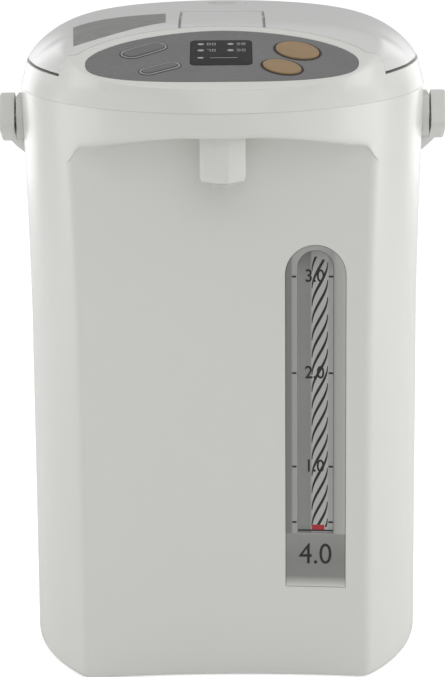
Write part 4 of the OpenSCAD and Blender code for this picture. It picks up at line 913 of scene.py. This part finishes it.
def strip(name, corners, rows=28, cols=40):
    """A thin film that follows the top between four corners."""
    a, b, c, d = (np.array(k, float) for k in corners)
    grid = []
    for u in np.linspace(0, 1, rows):
        for v in np.linspace(0, 1, cols):
            grid.append((a * (1 - u) + b * u) * (1 - v) + (d * (1 - u) + c * u) * v)
    upper, lower = top_at(grid, LABEL_LIFT), top_at(grid, -LABEL_SUNK)
    n = rows * cols
    faces = []
    for u in range(rows - 1):
        for v in range(cols - 1):
            k = u * cols + v
            faces.append([k, k + 1, k + cols + 1, k + cols])
            faces.append([n + k, n + k + cols, n + k + cols + 1, n + k + 1])
    border = (list(range(cols)) + [u * cols + cols - 1 for u in range(1, rows)]
              + [(rows - 1) * cols + v for v in range(cols - 2, -1, -1)]
              + [u * cols for u in range(rows - 2, 0, -1)])
    for i, k in enumerate(border):
        j = border[(i + 1) % len(border)]
        faces.append([k, j, n + j, n + k])
    return build(name, np.concatenate([upper, lower]), faces)


label = strip("lid_label", LABEL_CORNERS)
done(label, "lid", "panel_grey", material=LABEL)


# ---------- spout ----------

def spout_plan(inset):
    """The spout housing's plan: a block whose front corners are cut off."""
    half, rear, front = 11.75 - inset, -105.25 - inset, -128.75 + inset
    side = -121.75 + inset * 0.4
    flat = 3.2
    return np.array([(-half, rear), (-half, side), (-flat, front), (flat, front), (half, side),
                     (half, rear)])


def cover_ring(inset, z, n=3):
    """The spout's plan with each side cut in steps, so that its corners stay sharp."""
    p = spout_plan(inset)
    out = []
    for i, a in enumerate(p):
        b = p[(i + 1) % len(p)]
        out += [a + (b - a) * t / n for t in range(n)]
    return flat_ring(out, z)


rounded_foot = ((1.8, 277.5), (0.75, 277.9), (0.25, 278.8), (0, 280.5))
rings = [cover_ring(inset, z) for inset, z in rounded_foot]
rings += [cover_ring(0, z) for z in (286, 292, 297, 301.9)]
cover = skin("spout_housing", rings, angle=20)
soft = cover.modifiers.new("soft", "BEVEL")
soft.width = 0.0007
soft.segments = 3
soft.limit_method = "ANGLE"
soft.angle_limit = math.radians(18)
soft.use_clamp_overlap = True
bake(cover, 40)
combine(cover, [prism(circle(0, SPOUT_Y, 6.12), 270, 320), prism(spout_plan(2.1), 279.5, 310)], angle=40)
done(cover, "pot", "white_plastic", "spout_cover")

# The nozzle's tube with its flange, as (radius, height) points that are turned round its axis
profile = [(4.5, 275.3), (4.75, 275.0), (5.9, 275.0), (6.1, 275.3), (6.1, 304.45), (8.6, 304.5), (8.6, 306.0),
           (3.6, 306.0), (3.6, 296.0), (4.5, 296.0)]
nozzle = skin("nozzle_tube", [flat_ring(circle(0, SPOUT_Y, r, 72), z) for r, z in profile], loop=True)
done(nozzle, "pot", "inner_plastic", "spout_nozzle")


# ---------- water gauge ----------

def on_wall(ring):
    """Moves (x, height, behind) points onto the recess wall's curve."""
    p = np.asarray(ring, float)
    return np.column_stack([p[:, 0], wall_y(p[:, 0], p[:, 2]), p[:, 1]])


def gauge_ring(width, low, high, behind, n=28, side=40):
    """The outline of a strip with a round top, in steps that follow the wall's curve."""
    r = width / 2
    a = np.linspace(0, math.pi, n + 1)
    arc = [(GAUGE_X + r * math.cos(t), high - r + r * math.sin(t)) for t in a]
    left = [(GAUGE_X - r, low + (high - r - low) * (1 - k / side)) for k in range(1, side)]
    right = [(GAUGE_X + r, low + (high - r - low) * k / side) for k in range(1, side)]
    foot = [(GAUGE_X - r + 2 * r * k / 8, low) for k in range(9)]
    p = np.array(foot + right + arc + left)
    return np.column_stack([p, np.full(len(p), float(behind))])


def outer_ring(d, behind):
    """The frame's outline, drawn in by d."""
    return on_wall(gauge_ring(GAUGE_WIDTH - 2 * d, GAUGE_LOW + d, GAUGE_HIGH - d, behind))


def inner_ring(d, behind):
    """The outline of the frame's opening, grown by d."""
    return on_wall(gauge_ring(2 * (PANE_HALF + d), PANE_LOW - d, PANE_HIGH + d, behind))


# The bezel's cross-section: its flange behind the wall, the opening's edge and the outer edge
gauge = skin("gauge_bezel", [
    outer_ring(-3, 2.6), outer_ring(-3, 4.0), inner_ring(-1.5, 4.0), inner_ring(-1.5, 2.6),
    inner_ring(0, 2.55), inner_ring(0, 0.3), inner_ring(0.2, -0.1), inner_ring(0.5, -0.28),
    outer_ring(1.0, -0.3), outer_ring(0.35, -0.15), outer_ring(0, 0.25), outer_ring(0, 2.55)], loop=True)
done(gauge, "pot", "frame_silver", "gauge_frame")


# How far the pane's two faces lie behind the wall's surface
PANE_BEHIND, PANE_BACK = 0.6, 2.5


def pane_section(z):
    """The pane's cross-section at a height; its upper end is round."""
    r = PANE_HALF - PANE_FIT
    over = max(0.0, z - (PANE_HIGH - PANE_FIT - r))
    half = math.sqrt(max(0.04, r * r - over * over))
    x = GAUGE_X + half * np.linspace(-1, 1, 15)
    front = [(k, z, PANE_BEHIND) for k in x]
    back = [(k, z, PANE_BACK) for k in x[::-1]]
    return on_wall(front + back)


heights = list(np.linspace(PANE_LOW + PANE_FIT, PANE_HIGH - PANE_HALF, 40))
heights += list(PANE_HIGH - PANE_HALF + (PANE_HALF - PANE_FIT) * np.sin(np.linspace(0, math.pi / 2, 14)[1:]))
window = skin("gauge_pane", [pane_section(z) for z in heights])
done(window, "pot", "clear_window", "gauge_window")


def on_pane(ring):
    """Moves (x, height, lift) points to the wall's curve, the lift towards the front."""
    return on_wall(np.asarray(ring, float) * [1, 1, -1])


def gauge_print(name, outline, material=PRINT_DARK, lift=0.05, surface_at=-PANE_BEHIND,
                slot_name="clear_window"):
    """Print on the pane or its frame: an outline of (x, height) points."""
    p = np.asarray(outline, float)
    front = np.column_stack([p, np.full(len(p), surface_at + lift)])
    back = np.column_stack([p, np.full(len(p), surface_at - 0.02)])
    piece = skin(name, [on_pane(back), on_pane(front)])
    done(piece, "pot", slot_name, material=material)


def dashes(name, z):
    """A mark's two dashes: one on the frame's left side, one at the pane's right edge."""
    for side, x0, x1, at_level, slot_name in (("left", 36.0, 38.3, 0.28, "frame_silver"),
                                              ("right", 55.4, 57.8, -PANE_BEHIND, "clear_window")):
        gauge_print("gauge_dash_%s_%s" % (name, side),
                    [(x0, z - 0.5), (x1, z - 0.5), (x1, z + 0.5), (x0, z + 0.5)], PRINT_DARK, 0.07,
                    at_level, slot_name)


def text_piece(name, text, size, x, z, surface_at=-PANE_BEHIND, slot_name="clear_window", weight=0.12):
    """Plain figures as a thin raised print on the pane or on the plate below it."""
    lift = 0.1
    narrow = 0.9
    curve = bpy.data.curves.new(name, "FONT")
    curve.body = text
    curve.size = size
    curve.align_x = "CENTER"
    curve.align_y = "CENTER"
    curve.resolution_u = 4
    curve.offset = weight
    curve.extrude = lift / 2
    source = bpy.data.objects.new(name + "_source", curve)
    bpy.context.scene.collection.objects.link(source)
    graph = bpy.context.evaluated_depsgraph_get()
    mesh = bpy.data.meshes.new_from_object(source.evaluated_get(graph))
    bpy.data.objects.remove(source)
    co = np.array([v.co for v in mesh.vertices])
    p = np.column_stack([x + narrow * co[:, 0], z + co[:, 1], surface_at + lift / 2 + co[:, 2]])
    w = on_pane(p)
    w[:, 1] += SHIFT_Y
    mesh.vertices.foreach_set("co", (w * 0.001).astype(np.float32).ravel())
    mesh.update()
    piece = link(mesh, name)
    shade(piece)
    done(piece, "pot", slot_name, material=PRINT_DARK)


text_piece("gauge_figure_4", "4.0", 16.4, GAUGE_X, 69.2, 0.29, "frame_silver", 0.0)
for figure, z in (("3", 222.2), ("2", 169.9), ("1", 118.4)):
    text_piece("gauge_figure_" + figure, figure + ".0", 9.6, 48.0, z)
    dashes(figure, z)
dashes("low", 87.4)
gauge_print("gauge_low_line", [(39.2, 82.3), (57.8, 82.3), (57.8, 83.1), (39.2, 83.1)])
gauge_print("gauge_float", [(46.6, 82.5), (53.2, 82.5), (53.2, 85.8), (46.6, 85.8)], PRINT_RED, 0.08)


# The twisted band printed on the pane: its middle, half width, height span and a strand's rise
BAND_X, BAND_HALF, BAND_LOW, BAND_HIGH = 50.7, 4.1, 84.6, 234.0
STRAND_RISE, STRAND_PITCH = 23.6, 9.35


def cord_stroke(name, foot):
    """One dark strand of the twisted band, thin at both ends and clear of the pane's round top."""
    u = np.linspace(-math.pi / 2, math.pi / 2, 25)
    x = BAND_X + BAND_HALF * np.sin(u)
    z = foot + STRAND_RISE * (u / math.pi + 0.5)
    half = 0.2 + 0.62 * np.cos(u) ** 1.2
    keep = (z > BAND_LOW) & (z < BAND_HIGH - np.maximum(0, (x - GAUGE_X) * 0.55))
    if keep.sum() < 4:
        return
    x, z, half = x[keep], z[keep], half[keep]
    line = np.concatenate([np.column_stack([x - half, z]), np.column_stack([x + half, z])[::-1]])
    gauge_print(name, line)


for i, foot in enumerate(np.arange(66.0, 229.0, STRAND_PITCH)):
    cord_stroke("gauge_stroke_%d" % i, foot)


# ---------- handle ----------

def handle_point(x, reach, lift):
    """A point of the handle's own plane, hung at its droop."""
    c, s = math.cos(DROOP), math.sin(DROOP)
    return x, reach * c + lift * s, PIVOT_Z - reach * s + lift * c


rings = []
for a in np.linspace(0, math.pi, 181):
    way = np.array([math.cos(a), math.sin(a)])
    inner_p, outer_p = BAIL_INNER * way, BAIL_OUTER * way
    across = outer_p - inner_p
    width = np.linalg.norm(across)
    mid = (inner_p + outer_p) / 2
    section = round_box(width, BAIL_THICK, BAIL_EDGE, 5)
    rings.append(np.array([handle_point(*(mid + across / width * u), v) for u, v in section]))
bail = skin("carry_handle", rings)


def ear_ring(side, inset, out):
    """The outline of a handle's end block, drawn in by inset, at a distance outwards."""
    outline = round_box(EAR_BACK - EAR_FRONT - 2 * inset, EAR_HIGH - EAR_LOW - 2 * inset, EAR_CORNER)
    mid_y, mid_z = (EAR_FRONT + EAR_BACK) / 2, (EAR_LOW + EAR_HIGH) / 2
    x = side * (BAIL_INNER[0] + out)
    return np.array([handle_point(x, mid_y + y, mid_z + z) for y, z in outline])


rounding = [(EAR_ROUND * (1 - math.cos(t)), EAR_WIDE - EAR_ROUND + EAR_ROUND * math.sin(t))
            for t in np.linspace(0, math.pi / 2, 6)]
for side in (-1, 1):
    ear = skin("ear", [ear_ring(side, inset, out) for inset, out in [(0.0, 0.0)] + rounding])
    combine(bail, [ear], "UNION", angle=40)
    combine(bail, [cylinder_x(0, PIVOT_Z, 4.05, *sorted((side * 114, side * 120.5)))], angle=40)
done(bail, "handle", "handle_plastic", "handle_bail")


# ---------- camera, light and floor ----------

camera_data = bpy.data.cameras.new("camera")
camera = bpy.data.objects.new("camera", camera_data)
bpy.context.scene.collection.objects.link(camera)
camera_data.sensor_fit = "AUTO"
SENSOR, IMAGE_HEIGHT, FOCAL_PIXELS = 36.0, 677, 2531.7
camera_data.sensor_width = SENSOR
camera_data.lens = FOCAL_PIXELS * SENSOR / IMAGE_HEIGHT
DISTANCE, HEIGHT, ASIDE = 1.400, 0.4861, -0.00105
PITCH, YAW, ROLL = math.radians(12.799), 0.00244, math.radians(0.44)
turn = Matrix.Rotation(YAW, 4, "Z")
camera.matrix_world = (Matrix.Translation((0, SHIFT_Y * 0.001, 0)) @ turn
                       @ Matrix.Translation((ASIDE, -DISTANCE, HEIGHT))
                       @ Matrix.Rotation(math.pi / 2 - PITCH, 4, "X") @ Matrix.Rotation(-ROLL, 4, "Z"))
bpy.context.scene.camera = camera


def softbox(name, place, aim, size, power):
    """A lamp that looks at a height on the middle axis; lengths in metres and power in watts."""
    data = bpy.data.lights.new(name, "AREA")
    data.shape = "RECTANGLE"
    data.size, data.size_y = size
    data.energy = power
    lamp = bpy.data.objects.new(name, data)
    bpy.context.scene.collection.objects.link(lamp)
    lamp.location = place
    lamp.rotation_euler = (Vector((0, 0, aim)) - Vector(place)).to_track_quat("-Z", "Y").to_euler()


softbox("side_left", (-1.25, 0.15, 0.55), 0.18, (0.9, 1.2), 4.3)
softbox("side_right", (1.25, 0.1, 0.55), 0.18, (0.9, 1.2), 5.6)
softbox("rim_left", (-0.75, 1.3, 0.45), 0.18, (0.6, 1.0), 2.9)
softbox("rim_right", (0.75, 1.3, 0.45), 0.18, (0.6, 1.0), 2.4)
softbox("front", (0.25, -1.9, 1.0), 0.2, (1.6, 1.2), 6.8)

# The world is brightest overhead; the camera sees it plain white
world = bpy.data.worlds.new("world")
bpy.context.scene.world = world
world.use_nodes = True
wn, wl = world.node_tree.nodes, world.node_tree.links
where = wn.new("ShaderNodeTexCoord")
split = wn.new("ShaderNodeSeparateXYZ")
wl.new(where.outputs["Generated"], split.inputs["Vector"])
sky = wn.new("ShaderNodeValToRGB")
wl.new(split.outputs["Z"], sky.inputs["Fac"])
sky.color_ramp.elements.new(0.35)
for stop, (height, level) in zip(sky.color_ramp.elements, ((0.05, 0.373), (0.35, 0.249), (0.75, 0.761))):
    stop.position = height
    stop.color = (level, level, level, 1)
light_bg = wn["Background"]
wl.new(sky.outputs["Color"], light_bg.inputs["Color"])
seen_bg = wn.new("ShaderNodeBackground")
seen_bg.inputs["Color"].default_value = (1, 1, 1, 1)
paths = wn.new("ShaderNodeLightPath")
either = wn.new("ShaderNodeMath")
either.operation = "MAXIMUM"
wl.new(paths.outputs["Is Camera Ray"], either.inputs[0])
wl.new(paths.outputs["Is Transmission Ray"], either.inputs[1])
pick = wn.new("ShaderNodeMixShader")
wl.new(either.outputs["Value"], pick.inputs["Fac"])
wl.new(light_bg.outputs["Background"], pick.inputs[1])
wl.new(seen_bg.outputs["Background"], pick.inputs[2])
wl.new(pick.outputs["Shader"], wn["World Output"].inputs["Surface"])

# The floor keeps the object's shadow; the camera sees it paler by some light of its own
floor_mesh = bpy.data.meshes.new("floor")
FLOOR_HALF = 4.0
floor_corners = [(x * FLOOR_HALF, y * FLOOR_HALF, 0) for x, y in ((-1, -1), (1, -1), (1, 1), (-1, 1))]
floor_mesh.from_pydata(floor_corners, [], [(0, 1, 2, 3)])
floor = link(floor_mesh, "floor")
floor_mat = surface("floor_paper", (240, 240, 240), 0.8, 0.005, grain=500, bump=0.02)
fn, fl = floor_mat.node_tree.nodes, floor_mat.node_tree.links
lift = fn.new("ShaderNodeEmission")
lift.inputs["Strength"].default_value = 0.55
floor_path = fn.new("ShaderNodeLightPath")
seen_floor = fn.new("ShaderNodeMixShader")
dark = fn.new("ShaderNodeEmission")
dark.inputs["Strength"].default_value = 0.0
fl.new(floor_path.outputs["Is Camera Ray"], seen_floor.inputs["Fac"])
fl.new(dark.outputs["Emission"], seen_floor.inputs[1])
fl.new(lift.outputs["Emission"], seen_floor.inputs[2])
both = fn.new("ShaderNodeAddShader")
fl.new(fn["Principled BSDF"].outputs["BSDF"], both.inputs[0])
fl.new(seen_floor.outputs["Shader"], both.inputs[1])
fl.new(both.outputs["Shader"], fn["Material Output"].inputs["Surface"])
floor.data.materials.append(floor_mat)

bpy.context.scene.view_settings.view_transform = "Standard"
